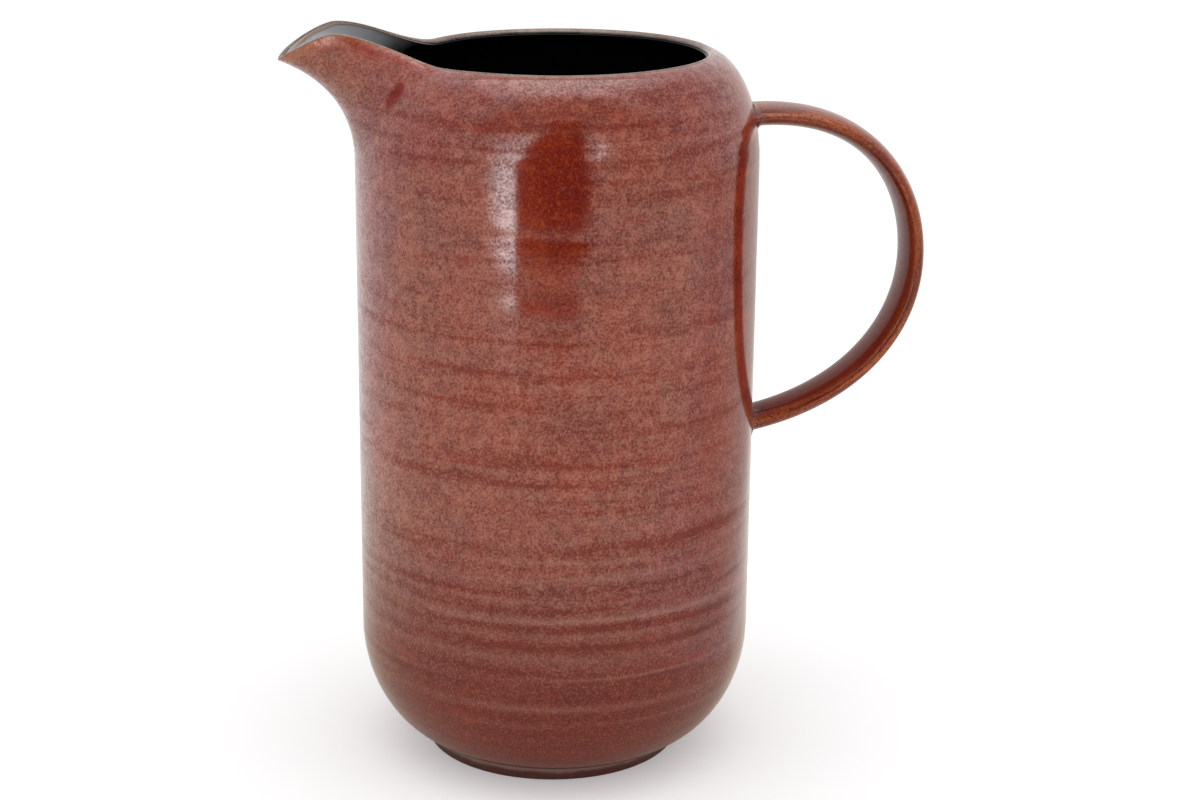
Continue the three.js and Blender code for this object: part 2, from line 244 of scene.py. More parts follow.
class Socket:
    """A shader value: its operators add Math nodes to its tree."""

    def __init__(self, tree: "ShaderTree", out: bpy.types.NodeSocket) -> None:
        """Wraps an output socket of a tree."""
        self.tree = tree
        self.out = out

    def __add__(self, other: Value) -> "Socket":
        """self + other."""
        return self.tree.math("ADD", self, other)

    __radd__ = __add__

    def __sub__(self, other: Value) -> "Socket":
        """self - other."""
        return self.tree.math("SUBTRACT", self, other)

    def __rsub__(self, other: Value) -> "Socket":
        """other - self."""
        return self.tree.math("SUBTRACT", other, self)

    def __mul__(self, other: Value) -> "Socket":
        """self * other."""
        return self.tree.math("MULTIPLY", self, other)

    __rmul__ = __mul__

    def __abs__(self) -> "Socket":
        """The size of the value without its sign."""
        return self.tree.math("ABSOLUTE", self, 0.0)

    def at_most(self, other: Value) -> "Socket":
        """The smaller of two values."""
        return self.tree.math("MINIMUM", self, other)

    def at_least(self, other: Value) -> "Socket":
        """The larger of two values."""
        return self.tree.math("MAXIMUM", self, other)

    def step(self, low: float, high: float) -> "Socket":
        """A smooth step, along 3t^2 - 2t^3.

        Args:
            low: the value where it is 0.
            high: the value where it is 1, which may lie below low.

        Returns:
            The step's value, from 0 to 1.
        """
        settings = {"interpolation_type": "SMOOTHSTEP"}
        inputs = {0: self, 1: min(low, high), 2: max(low, high)}
        rising = self.tree.node("ShaderNodeMapRange", settings, inputs)
        return rising if low < high else 1.0 - rising

    def swayed(self, noise: "Socket", amount: float) -> "Socket":
        """The value moved up and down by a noise, by half the amount at most."""
        return self + (noise - NOISE_MEAN) * amount

    def limited(self) -> "Socket":
        """The value, no less than 0 and no more than 1."""
        return self.at_least(0.0).at_most(1.0)


class ShaderTree:
    """Adds nodes to a material's or the world's node tree."""

    MIX_COLOUR = {"factor": 0, "a": 6, "b": 7, "result": 2}

    def __init__(self, owner: Union[bpy.types.Material, bpy.types.World]) -> None:
        """Starts an empty tree.

        Args:
            owner: the material or world that the tree belongs to.
        """
        owner.use_nodes = True
        self.tree = owner.node_tree
        self.tree.nodes.clear()

    def node(self, kind: str, settings: dict, inputs: dict, output: Union[int, str] = 0) -> Socket:
        """Adds any node.

        Args:
            kind: the node's type.
            settings: the node's own settings, set first.
            inputs: the values or links of its sockets, by name or number.
            output: the socket that is handed back.

        Returns:
            The chosen output, or the node's first input where it has no output.
        """
        made = self.tree.nodes.new(kind)
        for name, value in settings.items():
            setattr(made, name, value)
        for name, value in inputs.items():
            if isinstance(value, Socket):
                self.tree.links.new(value.out, made.inputs[name])
            else:
                made.inputs[name].default_value = value
        return Socket(self, made.outputs[output] if made.outputs else made.inputs[0])

    def math(self, operation: str, a: Value, b: Value) -> Socket:
        """One Math node."""
        return self.node("ShaderNodeMath", {"operation": operation}, {0: a, 1: b})

    def mix(self, a: Union[Socket, Colour], b: Union[Socket, Colour], factor: Value) -> Socket:
        """Blends two colours.

        Args:
            a: the colour at a factor of 0.
            b: the colour at a factor of 1.
            factor: how far a turns into b.

        Returns:
            The blended colour.
        """
        slots = self.MIX_COLOUR
        a, b = ((*c, 1.0) if isinstance(c, tuple) else c for c in (a, b))
        inputs = {slots["factor"]: factor, slots["a"]: a, slots["b"]: b}
        return self.node("ShaderNodeMix", {"data_type": "RGBA"}, inputs, slots["result"])

    def noise(self, place: Socket, scale: float, detail: float, rough: float) -> Socket:
        """Noise of about 1 / scale metres across, near 0.5 on average."""
        inputs = {"Vector": place, "Scale": scale, "Detail": detail, "Roughness": rough}
        return self.node("ShaderNodeTexNoise", {}, inputs)

    def stretched(self, place: Socket, stretch: Point) -> Socket:
        """Coordinates scaled by a factor along each axis."""
        return self.node("ShaderNodeMapping", {}, {"Vector": place, "Scale": stretch})

    def place(self) -> Socket:
        """The point's own coordinates, in metres."""
        return self.node("ShaderNodeTexCoord", {}, {}, "Object")

    def axis(self, place: Socket, name: str) -> Socket:
        """One coordinate, X, Y or Z, of a point."""
        return self.node("ShaderNodeSeparateXYZ", {}, {0: place}, name)

    def carried(self, key: Field) -> Socket:
        """A value that the surface carries."""
        return self.node("ShaderNodeAttribute", {"attribute_name": key.value}, {}, "Fac")

    def ray(self, kind: str) -> Socket:
        """1 for rays of one kind, such as Camera or Glossy, and 0 for all others."""
        return self.node("ShaderNodeLightPath", {}, {}, f"Is {kind} Ray")

    def bump(self, height: Socket, strength: float, distance: float) -> Socket:
        """A normal tilted by a height, with the distance in metres."""
        inputs = {"Height": height, "Strength": strength, "Distance": distance}
        return self.node("ShaderNodeBump", {}, inputs)

    def finish(self, surface: Socket, target: str = "ShaderNodeOutputMaterial") -> None:
        """Links a shader to the tree's output."""
        self.node(target, {}, {"Surface": surface})

    def glazed(self, look: "GlazeLook") -> None:
        """Ends the tree in a glazed surface: a colour under a gloss and a second, uneven gloss.

        Args:
            look: the colour, the glosses and how far they are scraped off.
        """
        inputs = {
            "Base Color": look.colour,
            "Roughness": look.roughness,
            "Normal": look.normal,
            "IOR": look.ior,
            "Coat Weight": look.coat,
            "Coat IOR": look.coat_ior,
            "Coat Roughness": look.coat_roughness,
        }
        surface = self.node("ShaderNodeBsdfPrincipled", {}, inputs)
        if isinstance(look.matt, Socket):
            scraped = self.node("ShaderNodeBsdfDiffuse", {}, {"Color": look.colour})
            surface = self.node("ShaderNodeMixShader", {}, {0: look.matt, 1: surface, 2: scraped})
        self.finish(surface)


@dataclass
class GlazeLook:
    """What a glazed surface ends in.

    Attributes:
        colour: the colour under the gloss.
        roughness: how blurred the lower gloss is.
        normal: the lower gloss's fine tilt.
        coat: how strong the upper gloss is, from 0 to 1.
        ior: refractive index of the lower gloss.
        coat_ior: refractive index of the upper gloss.
        coat_roughness: how blurred the upper gloss is.
        matt: how far both glosses are scraped off, from 0 to 1.
    """

    colour: Socket
    roughness: Value
    normal: Socket
    coat: Value
    ior: float = 1.45
    coat_ior: float = 1.85
    coat_roughness: float = 0.10
    matt: Value = 0.0


@dataclass(frozen=True)
class Pattern:
    """A noise on a piece's own coordinates, near 0.5 on average.

    Attributes:
        scale: how often it changes in a metre, one number or one along each axis.
        detail: how many finer noises are added.
        rough: how strong each finer noise is beside the one before.
    """

    scale: Union[float, Point]
    detail: float = 2.0
    rough: float = 0.5

    def on(self, place: Socket) -> Socket:
        """Adds the noise to a tree.

        Args:
            place: the coordinates that it lies on.

        Returns:
            The noise's value.
        """
        if isinstance(self.scale, tuple):
            return place.tree.noise(place.tree.stretched(place, self.scale), 1.0, self.detail, self.rough)
        return place.tree.noise(place, self.scale, self.detail, self.rough)


@dataclass(frozen=True)
class Tint:
    """A colour that shows where a pattern passes from one value to another.

    Attributes:
        colour: the colour.
        start: the pattern's value where it begins to show.
        full: the pattern's value where it shows most, which may lie below start.
        cover: how far it then covers what is below, from 0 to 1.
    """

    colour: Colour
    start: float
    full: float
    cover: float = 1.0

    def mask(self, pattern: Socket) -> Socket:
        """How far the tint covers, from the pattern's value."""
        return pattern.step(self.start, self.full) * self.cover

    def over(self, ground: Union[Socket, Colour], pattern: Socket, share: Value = 1.0) -> Socket:
        """Lays the tint over a ground.

        Args:
            ground: the colour below.
            pattern: the value that the tint follows.
            share: a second mask, which holds it back.

        Returns:
            The blended colour.
        """
        return pattern.tree.mix(ground, self.colour, self.mask(pattern) * share)


@dataclass(frozen=True)
class WallGloss:
    """How the upper gloss of the outer glaze changes: finely with the grain, broadly with the lines.

    Attributes:
        level: the gloss of a plain place.
        grain: how much it rises with the grain.
        patch: how much it falls with the patches.
        line: how much it falls in a maroon line.
        pale: how much it rises in a pale line, the painted highlight.
        red: how much it falls where the glaze is bright red.
        base: the share of it that is left at the base.
        base_height: heights between which it comes back, in metres.
        shelter: distances behind the handle over which it grows even, in metres.
        shelter_wander: how far that border wanders.
        shelter_share: how even it is there, from 0 to 1.
        shelter_level: the even gloss.
    """

    level: float = 0.67
    grain: float = 2.2
    patch: float = 1.3
    line: float = 1.1
    pale: float = 0.8
    red: float = 0.3
    base: float = 0.08
    base_height: Range = (0.010, 0.100)
    shelter: Range = (0.032, 0.041)
    shelter_wander: float = 0.018
    shelter_share: float = 0.80
    shelter_level: float = 0.52


@dataclass(frozen=True)
class RedBrownGlaze:
    """The outer glaze: deep red with a fine light and dark grain, maroon lines that are glaze colour and
    painted shade in the grooves, pale lines painted as highlights on the ridges, and a grey-brown lip.

    Heights are in metres and gaps to the rim in millimetres. The spout's side runs from 0 at the
    tip to 1 at the mouth's corners.
    """

    mottle: Pattern = Pattern(60.0, 3.0, 0.55)
    patch: Pattern = Pattern(330.0)
    streak: Pattern = Pattern((18.0, 18.0, 300.0), 3.0, 0.6)
    grain: Pattern = Pattern(1450.0, 1.0)
    blush: Pattern = Pattern((55.0, 55.0, 260.0))
    blot: Pattern = Pattern((120.0, 120.0, 190.0), 2.0, 0.6)
    deep_red: Colour = (0.180, 0.011, 0.004)
    rust: Tint = Tint((0.292, 0.031, 0.006), 0.34, 0.66, 0.7)
    rust_top: Range = (0.20, 0.13)
    rust_low: Range = (0.02, 0.10)
    rust_middle: float = 0.3
    mauve: Tint = Tint((0.17, 0.030, 0.026), 0.52, 0.72, 0.38)
    tan: Tint = Tint((0.37, 0.050, 0.010), 0.48, 0.30, 0.45)
    base_red: Tint = Tint((0.137, 0.008, 0.003), 0.120, 0.020, 0.85)
    light_grain: Tint = Tint((0.45, 0.100, 0.042), 0.46, 0.78, 0.33)
    dark_grain: Tint = Tint((0.065, 0.005, 0.004), 0.52, 0.24, 0.43)
    foot_fade: Range = (0.004, 0.018)
    # Maroon: glaze colour, which in the rings also stands for painted shade in the grooves.
    maroon: Tint = Tint((0.085, 0.010, 0.008), 0.50, 0.74, 0.32)
    line_break: Range = (0.38, 0.60)
    line_least: float = 0.55
    line_swing: float = 0.55
    line_most: float = 0.95
    line_grain: float = 0.05
    line_cover: float = 0.4
    # Painted highlight: the pale colour laid on the ridges between rings.
    painted_ridge_highlight: Colour = (0.36, 0.150, 0.110)
    ridge_highlight_depth: float = 0.8
    ridge_highlight_cover: float = 0.8
    bright_red: Tint = Tint((0.27, 0.022, 0.008), 0.60, 0.72, 0.4)
    blotch: Tint = Tint((0.105, 0.009, 0.005), 0.52, 0.70, 0.30)
    orange_edge: Tint = Tint((0.40, 0.085, 0.018), 0.30, 0.55, 0.8)
    front_gap: Range = (4.5, 1.0)
    front_side: Range = (0.55, 0.40)
    lip_gap: Range = (1.6, 0.7)
    lip_cover: float = 0.5
    spout_orange: float = 0.15
    red_gap: float = 3.8
    red_wander: float = 3.0
    red_half_width: Range = (1.7, 0.5)
    red_start: Range = (0.50, 0.60)
    red_end: Range = (1.02, 0.86)
    red_cover: float = 0.8
    spout_red: Range = (0.62, 0.72)
    spout_red_cover: float = 0.6
    red_most: float = 0.9
    dent_red: Tint = Tint((0.185, 0.012, 0.006), 0.15, 0.80)
    dent_matt: float = 0.7
    foot_brown: Tint = Tint((0.115, 0.042, 0.033), 0.0085, 0.0065, 0.8)
    foot_wander: float = 0.003
    lip_break: Tint = Tint((0.19, 0.110, 0.080), 0.6, 0.25)
    lip_wander: float = 0.5
    tip_side: Range = (0.09, 0.03)
    tip_gap: Range = (1.6, 0.9)
    bare_black: Tint = Tint((0.004, 0.004, 0.004), -1.6, -1.9)
    bare_wander: float = 0.8
    gloss: WallGloss = WallGloss()
    roughness: float = 0.13
    relief: float = 0.10
    relief_depth: float = 0.0005
    relief_grain: float = 0.2
    relief_patch: float = 0.5

    def build(self) -> bpy.types.Material:
        """Makes the material.

        Returns:
            The glaze, on object coordinates and on the values that the vessel carries.
        """
        material = bpy.data.materials.new(Slot.RED_BROWN.value)
        tree = ShaderTree(material)
        place = tree.place()
        height = tree.axis(place, "Z")
        ring, rim_gap, spout, side, dent = (
            tree.carried(key) for key in (Field.RING, Field.RIM_GAP, Field.SPOUT, Field.SIDE, Field.DENT)
        )
        mottle, patch, streak, grain = (
            pattern.on(place) for pattern in (self.mottle, self.patch, self.streak, self.grain)
        )
        # Red and rust clouds with a fine grain, darker and redder towards the base.
        above_foot = height.step(*self.foot_fade)
        middle = height.step(*self.rust_top) * height.step(*self.rust_low) * self.rust_middle
        colour = tree.mix(self.deep_red, self.rust.colour, self.rust.mask(mottle) + middle)
        colour = self.mauve.over(colour, patch, above_foot)
        colour = self.tan.over(colour, patch, above_foot)
        colour = self.base_red.over(colour, height)
        colour = self.light_grain.over(colour, grain, above_foot)
        # Maroon in the rings and pale between some of them, both broken up by the streaks. The maroon is
        # glaze colour that also paints shade in the grooves; the pale is a painted highlight on the ridges.
        broken = self.line_least + streak.step(*self.line_break) * self.line_swing
        lines = (self.maroon.mask(streak) + ring.at_least(0.0) * broken).at_most(self.line_most)
        thin = lines * (1.0 - spout)
        # Painted highlight on the ridges, where a ring's tint is negative.
        pale = (ring * -self.ridge_highlight_depth).at_least(0.0) * broken
        colour = self.dark_grain.over(colour, grain - thin * self.line_grain, above_foot)
        colour = tree.mix(colour, self.maroon.colour, thin * self.line_cover)
        colour = tree.mix(colour, self.painted_ridge_highlight, pale * self.ridge_highlight_cover)
        blush = self.bright_red.mask(self.blush.on(place))
        colour = tree.mix(colour, self.bright_red.colour, blush * above_foot)
        colour = self.blotch.over(colour, self.blot.on(place), above_foot)
        # Orange where the glaze runs thin under the lip and on the spout, and a red band below it.
        front = rim_gap.step(*self.front_gap) * side.step(*self.front_side)
        under_lip = rim_gap.step(*self.lip_gap) * self.lip_cover
        thin_edge = (front * self.orange_edge.mask(patch)).at_least(under_lip)
        colour = tree.mix(colour, self.orange_edge.colour, thin_edge)
        band = abs((rim_gap - self.red_gap).swayed(mottle, self.red_wander)).step(*self.red_half_width)
        flank = side.step(*self.red_start) * side.step(*self.red_end)
        spout_red = spout * patch.step(*self.spout_red) * self.spout_red_cover
        red = (band * flank * self.red_cover + spout_red).at_most(self.red_most)
        colour = tree.mix(colour, self.orange_edge.colour, spout * self.spout_orange)
        colour = tree.mix(colour, self.bright_red.colour, red)
        # The tool mark, the brown above the foot, the bare lip and the black that starts inside it.
        mark = self.dent_red.mask(dent)
        colour = tree.mix(colour, self.dent_red.colour, mark)
        colour = self.foot_brown.over(colour, height + mottle * self.foot_wander)
        tip = side.step(*self.tip_side) * rim_gap.step(*self.tip_gap)
        bare_lip = self.lip_break.mask(rim_gap + patch * self.lip_wander).at_least(tip)
        colour = tree.mix(colour, self.lip_break.colour, bare_lip)
        colour = self.bare_black.over(colour, rim_gap.swayed(mottle, self.bare_wander))
        # The upper gloss: uneven with the grain and the lines, even behind the handle.
        gloss = self.gloss
        coat = gloss.level + (grain - NOISE_MEAN) * gloss.grain - (patch - NOISE_MEAN) * gloss.patch
        coat = coat - thin * gloss.line + pale * gloss.pale - (red + blush) * gloss.red
        coat = coat * (gloss.base + height.step(*gloss.base_height) * (1.0 - gloss.base))
        behind = tree.axis(place, "X").swayed(mottle, gloss.shelter_wander)
        even = behind.step(*gloss.shelter) * gloss.shelter_share
        coat = (coat * (1.0 - even) + even * gloss.shelter_level).limited()
        relief = grain * self.relief_grain + patch * self.relief_patch + mottle
        normal = tree.bump(relief, self.relief, self.relief_depth)
        tree.glazed(GlazeLook(colour, self.roughness, normal, coat, matt=mark * self.dent_matt))
        return material


@dataclass(frozen=True)
class HandleGlaze:
    """The handle's glaze: thinner and more orange, streaked along the strap, dark lines at the roots, and
    painted shade in dark red on the inner face, towards the jug.

    Gaps to the wall are in millimetres. The face runs from -1 outside to 1 inside the loop.
    """

    streak: Pattern = Pattern(1.0, 4.0, 0.6)
    streak_along: float = 30.0
    streak_across: float = 2.2
    grain: Pattern = Pattern(1200.0, 2.0, 0.65)
    patch: Pattern = Pattern(300.0, 2.0, 0.55)
    rust: Colour = (0.31, 0.052, 0.011)
    deep_streak: Tint = Tint((0.14, 0.014, 0.005), 0.50, 0.60, 0.9)
    orange_streak: Tint = Tint((0.43, 0.100, 0.020), 0.50, 0.40, 0.9)
    olive: Tint = Tint((0.19, 0.080, 0.020), 0.53, 0.64, 0.45)
    dark_grain: Tint = Tint((0.14, 0.014, 0.005), 0.54, 0.38, 0.75)
    # Painted shade: the inner face, towards the jug, is made dark red and its gloss is partly scraped off.
    painted_inner_shade: Tint = Tint((0.165, 0.017, 0.008), -0.50, 0.60, 0.95)
    inner_matt: float = 0.20
    slip_grey: Tint = Tint((0.20, 0.085, 0.070), 4.0, 1.5, 0.6)
    slip_patches: Range = (0.40, 0.60)
    dark_line: Tint = Tint((0.05, 0.026, 0.022), 0.16, 0.03, 0.7)
    line_wander: float = 0.3
    spot_gap: Range = (9.0, 3.0)
    spot_patches: Range = (0.56, 0.66)
    spot_cover: float = 0.8
    dark_most: float = 0.9
    gloss_grain: float = 1.5
    roughness: float = 0.10
    ior: float = 1.42
    relief: float = 0.10
    relief_depth: float = 0.0005
    relief_grain: float = 0.2

    def build(self) -> bpy.types.Material:
        """Makes the material.

        Returns:
            The glaze, on object coordinates and on the values that the strap carries.
        """
        material = bpy.data.materials.new(Slot.HANDLE.value)
        tree = ShaderTree(material)
        place = tree.place()
        along, root, face = (tree.carried(key) for key in (Field.ALONG, Field.ROOT, Field.FACE))
        on_strap = {0: along * self.streak_along, 1: face * self.streak_across, 2: 0.0}
        streak = self.streak.on(tree.node("ShaderNodeCombineXYZ", {}, on_strap))
        grain, patch = self.grain.on(place), self.patch.on(place)
        colour = self.deep_streak.over(self.rust, streak)
        colour = self.orange_streak.over(colour, streak)
        colour = self.olive.over(colour, patch)
        colour = self.dark_grain.over(colour, grain)
        # Painted shade on the inner face, towards the jug.
        colour = self.painted_inner_shade.over(colour, face)
        colour = self.slip_grey.over(colour, root, patch.step(*self.slip_patches))
        edge = self.dark_line.mask(root.swayed(patch, self.line_wander))
        spots = root.step(*self.spot_gap) * patch.step(*self.spot_patches) * self.spot_cover
        colour = tree.mix(colour, self.dark_line.colour, (edge + spots).at_most(self.dark_most))
        coat = ((grain - NOISE_MEAN) * self.gloss_grain).limited()
        normal = tree.bump(patch + grain * self.relief_grain, self.relief, self.relief_depth)
        matt = face.step(self.painted_inner_shade.start, self.painted_inner_shade.full) * self.inner_matt
        tree.glazed(GlazeLook(colour, self.roughness, normal, coat, self.ior, matt=matt))
        return material


@dataclass(frozen=True)
class FootGlaze:
    """The foot: brown where the glaze ends, darkened as painted contact shade, an ash band at its top under
    the base that is a painted reflection of the floor, and ash brown wear at the worn flat.

    Heights are in metres.
    """

    grain: Pattern = Pattern(900.0, 3.0, 0.6)
    patch: Pattern = Pattern(200.0)
    # The foot's brown, made darker than the glaze as painted contact shade.
    brown: Colour = (0.095, 0.026, 0.021)
    # Ash: wear at the worn flat, and at the foot's top under the base a painted reflection of the floor.
    worn_ash_and_floor_sheen: Tint = Tint((0.26, 0.145, 0.125), 0.0022, 0.0040)
    floor_sheen_wander: float = 0.002
    worn: Range = (0.0007, 0.0002)
    worn_wander: float = 0.0004
    worn_grain: Range = (0.5, 0.7)
    worn_grain_cover: float = 0.3
    worn_cover: float = 0.4
    roughness: float = 0.30
    worn_roughness: float = 0.3
    grain_roughness: float = 0.1
    relief: float = 0.15
    relief_depth: float = 0.0004

    def build(self) -> bpy.types.Material:
        """Makes the material.

        Returns:
            The glaze, on object coordinates.
        """
        material = bpy.data.materials.new(Slot.FOOT.value)
        tree = ShaderTree(material)
        place = tree.place()
        height = tree.axis(place, "Z")
        grain, patch = self.grain.on(place), self.patch.on(place)
        low = (height + patch * self.worn_wander).step(*self.worn)
        # Painted reflection of the floor: an ash band at the foot's top, under the base.
        high = self.worn_ash_and_floor_sheen.mask(height.swayed(patch, self.floor_sheen_wander))
        pale = (low + grain.step(*self.worn_grain) * self.worn_grain_cover).at_most(1.0)
        colour = tree.mix(self.brown, self.worn_ash_and_floor_sheen.colour, (pale * self.worn_cover).at_least(high))
        rough = self.roughness + low * self.worn_roughness + grain * self.grain_roughness
        tree.glazed(GlazeLook(colour, rough, tree.bump(grain, self.relief, self.relief_depth), 0.0))
        return material


@dataclass(frozen=True)
class BlackGlaze:
    """The liner glaze: black in the vessel, blue-grey in the spout, brown at the lip.

    The spout's share runs from 0 at its seam to 1 at its rim. Gaps to the rim are in millimetres.
    """

    mottle: Pattern = Pattern(160.0, 3.0, 0.55)
    black: Colour = (0.0025, 0.0025, 0.003)
    blue_grey: Tint = Tint((0.465, 0.475, 0.50), 0.28, 0.66)
    spout_grey_wander: float = 0.15
    lip_brown: Tint = Tint((0.30, 0.22, 0.18), 1.6, 0.9)
    lip_wander: float = 0.8
    lip_spout: Range = (0.15, 0.5)
    roughness: float = 0.15
    ior: float = 1.25
    coat_ior: float = 1.6
    relief: float = 0.08
    relief_depth: float = 0.0006

    def build(self) -> bpy.types.Material:
        """Makes the material.

        Returns:
            The glaze, on object coordinates and on the values that the lining carries.
        """
        material = bpy.data.materials.new(Slot.BLACK.value)
        tree = ShaderTree(material)
        spout, rim_gap = tree.carried(Field.SPOUT), tree.carried(Field.RIM_GAP)
        mottle = self.mottle.on(tree.place())
        spout_grey = self.blue_grey.mask(spout.swayed(mottle, self.spout_grey_wander))
        colour = tree.mix(self.black, self.blue_grey.colour, spout_grey)
        broken = self.lip_brown.mask(rim_gap.swayed(mottle, self.lip_wander)) * spout.step(*self.lip_spout)
        colour = tree.mix(colour, self.lip_brown.colour, broken)
        normal = tree.bump(mottle, self.relief, self.relief_depth)
        coat = spout_grey.at_least(broken)
        tree.glazed(GlazeLook(colour, self.roughness, normal, coat, self.ior, self.coat_ior))
        return material


@dataclass(frozen=True)
class Skin:
    """One of the vessel's nested skins, in millimetres.

    Attributes:
        radius: radius of the straight wall.
        base_in: how far the rounded base draws in.
        base_up: how far the rounded base goes up.
        shoulder_in: half axis of the shoulder's ellipse, across.
        shoulder_up: half axis of the shoulder's ellipse, upwards.
        lip: how far the spout's rim lies in from its outer edge.
        tip_height: height of the spout's tip.
    """

    radius: float
    base_in: float
    base_up: float
    shoulder_in: float
    shoulder_up: float
    lip: float
    tip_height: float


@dataclass(frozen=True)
class ThrowingRing:
    """One ring: a groove round the jug.

    Attributes:
        height: where it runs, in millimetres.
        depth: how deep it is.
        width: half its width.
        tint: how far it is painted maroon, glaze colour and painted shade in the groove, or pale, a painted
            highlight, where it is negative.
    """

    height: float
    depth: float
    width: float
    tint: float


@dataclass(frozen=True)
class ThrowingRings:
    """The potter's rings: shallow grooves that wander up and down and fade in and out.

    The strong rings stand where the photograph shows them. Fine ones lie at random between.

    Attributes:
        strong: the rings that stand out.
        fine_count: number of fine rings.
        fine_depth: their depth, in millimetres.
        fine_width: half their width, times a draw from width_spread.
        fine_tint: their tint, times a draw from tint_spread.
        width_spread: range of the draws for the width.
        tint_spread: range of the draws for the tint.
        lowest: height of the lowest fine ring.
        highest: height of the highest fine ring.
        wander: how far a ring rises and falls round the jug.
        ripple: a second, faster rise and fall, as a share of the first.
        ripple_count: how often it comes in a turn.
        front: the angle at which rings stand at their own height.
        strongest: the angle at which rings are strongest.
        stray: how far that angle strays from ring to ring.
        fade: how much weaker rings are all round.
        faintest: the strength that is left behind.
        flicker: a faster change of strength.
        flicker_count: how often it comes in a turn.
        seed: the seed of the draws.
    """

    strong: tuple[ThrowingRing, ...] = (
        ThrowingRing(216.0, 0.08, 1.5, 0.36),
        ThrowingRing(210.0, 0.08, 1.4, 0.32),
        ThrowingRing(206.4, 0.06, 1.4, 0.26),
        ThrowingRing(202.7, 0.10, 1.4, 0.36),
        ThrowingRing(198.3, 0.12, 1.5, 0.52),
        ThrowingRing(189.6, 0.05, 1.8, 0.40),
        ThrowingRing(177.8, 0.08, 2.3, 0.15),
        ThrowingRing(161.5, 0.11, 5.0, 0.10),
        ThrowingRing(150.5, 0.04, 3.0, 0.24),
        ThrowingRing(137.5, 0.03, 2.0, 0.34),
        ThrowingRing(128.0, 0.03, 1.7, 0.48),
        ThrowingRing(121.0, 0.03, 1.7, 0.50),
        ThrowingRing(111.0, 0.03, 1.7, 0.46),
        ThrowingRing(104.0, 0.04, 1.6, 0.42),
        ThrowingRing(96.0, 0.06, 1.6, 0.34),
        ThrowingRing(84.0, 0.08, 1.3, 0.58),
        ThrowingRing(81.0, 0.0, 1.1, -0.30),
        ThrowingRing(78.0, 0.06, 1.1, 0.32),
        ThrowingRing(74.5, 0.0, 1.1, -0.30),
        ThrowingRing(70.7, 0.08, 1.2, 0.60),
        ThrowingRing(68.0, 0.0, 0.9, -0.35),
        ThrowingRing(65.4, 0.08, 1.1, 0.60),
        ThrowingRing(61.8, 0.0, 1.0, -0.60),
        ThrowingRing(59.0, 0.09, 1.2, 0.72),
        ThrowingRing(56.2, 0.0, 0.9, -0.35),
        ThrowingRing(53.4, 0.08, 1.1, 0.58),
        ThrowingRing(49.5, 0.0, 1.1, -0.30),
        ThrowingRing(44.9, 0.09, 1.1, 0.64),
        ThrowingRing(42.1, 0.0, 0.9, -0.50),
        ThrowingRing(39.5, 0.12, 1.0, 0.58),
        ThrowingRing(36.4, 0.12, 1.0, 0.60),
        ThrowingRing(33.3, 0.0, 1.0, -0.45),
        ThrowingRing(30.0, 0.12, 1.0, 0.66),
        ThrowingRing(27.0, 0.0, 1.0, -0.40),
        ThrowingRing(23.9, 0.11, 1.0, 0.60),
    )
    fine_count: int = 44
    fine_depth: float = 0.012
    fine_width: float = 0.9
    fine_tint: float = 0.32
    width_spread: Range = (0.6, 1.5)
    tint_spread: Range = (0.3, 1.3)
    lowest: float = 12.0
    highest: float = 214.0
    wander: float = 1.0
    ripple: float = 0.4
    ripple_count: int = 3
    front: float = 1.4
    strongest: float = 1.8
    stray: float = 0.5
    fade: float = 0.1
    faintest: float = 0.30
    flicker: float = 0.15
    flicker_count: int = 5
    seed: int = 11

    def grooves(self, height: Array, angle: Array) -> tuple[Array, Array]:
        """How deep the grooves are and how maroon, summed over all rings.

        Each ring is a bell curve across its height. Its height follows a slow sine round the
        jug, and its depth swells and fades round the jug.

        Args:
            height: heights of the points, in millimetres.
            angle: angles of the points round the axis.

        Returns:
            Depths in millimetres, and tints.
        """
        draw = np.random.default_rng(self.seed)
        count = len(self.strong) + self.fine_count
        shape = (count,) + (1,) * height.ndim
        spread = np.ones(self.fine_count)
        fine = np.stack([
            draw.uniform(self.lowest, self.highest, self.fine_count),
            self.fine_depth * spread,
            self.fine_width * draw.uniform(*self.width_spread, self.fine_count),
            self.fine_tint * draw.uniform(*self.tint_spread, self.fine_count),
        ], axis=-1)
        main = np.array([[ring.height, ring.depth, ring.width, ring.tint] for ring in self.strong])
        middle, depth, width, tint = (v.reshape(shape) for v in np.concatenate([main, fine]).T)
        turn, bend, swell = (draw.uniform(-1, 1, count).reshape(shape) for _ in range(3))
        ripple = self.ripple * np.sin(self.ripple_count * angle + math.pi * bend)
        lift = np.sin(angle + math.pi * turn) + ripple - np.sin(self.front + math.pi * turn)
        level = middle + self.wander * lift
        near = np.cos(angle - self.strongest - self.stray * swell) - self.fade
        flicker = self.flicker * np.cos(self.flicker_count * angle + math.pi * bend)
        groove = (np.maximum(self.faintest, near) + flicker) * bell(height - level, width)
        return (depth * groove).sum(axis=0), (tint * groove).sum(axis=0)


@dataclass(frozen=True)
class ToolMark:
    """A short groove that a finger or tool left beside the spout, along a straight line.

    Attributes:
        start: the line's lower end, in millimetres.
        end: its upper end.
        pressed: the share of the line along which the tool pressed.
        depth: how deep the groove is.
        width: half its width.
    """

    start: Point = (-52.8, -25.2, 210.3)
    end: Point = (-47.6, -26.9, 217.6)
    pressed: Range = (0.25, 0.80)
    depth: float = 0.45
    width: float = 2.3

    def dent(self, points: Array) -> Array:
        """A bell curve of each point's distance from the line.

        Args:
            points: points of the wall.

        Returns:
            The curve's values, 1 on the line.
        """
        start, end = np.array(self.start), np.array(self.end)
        way = end - start
        share = np.clip((points - start) @ way / (way @ way), *self.pressed)
        return bell(np.linalg.norm(points - start - share[..., None] * way, axis=-1), self.width)


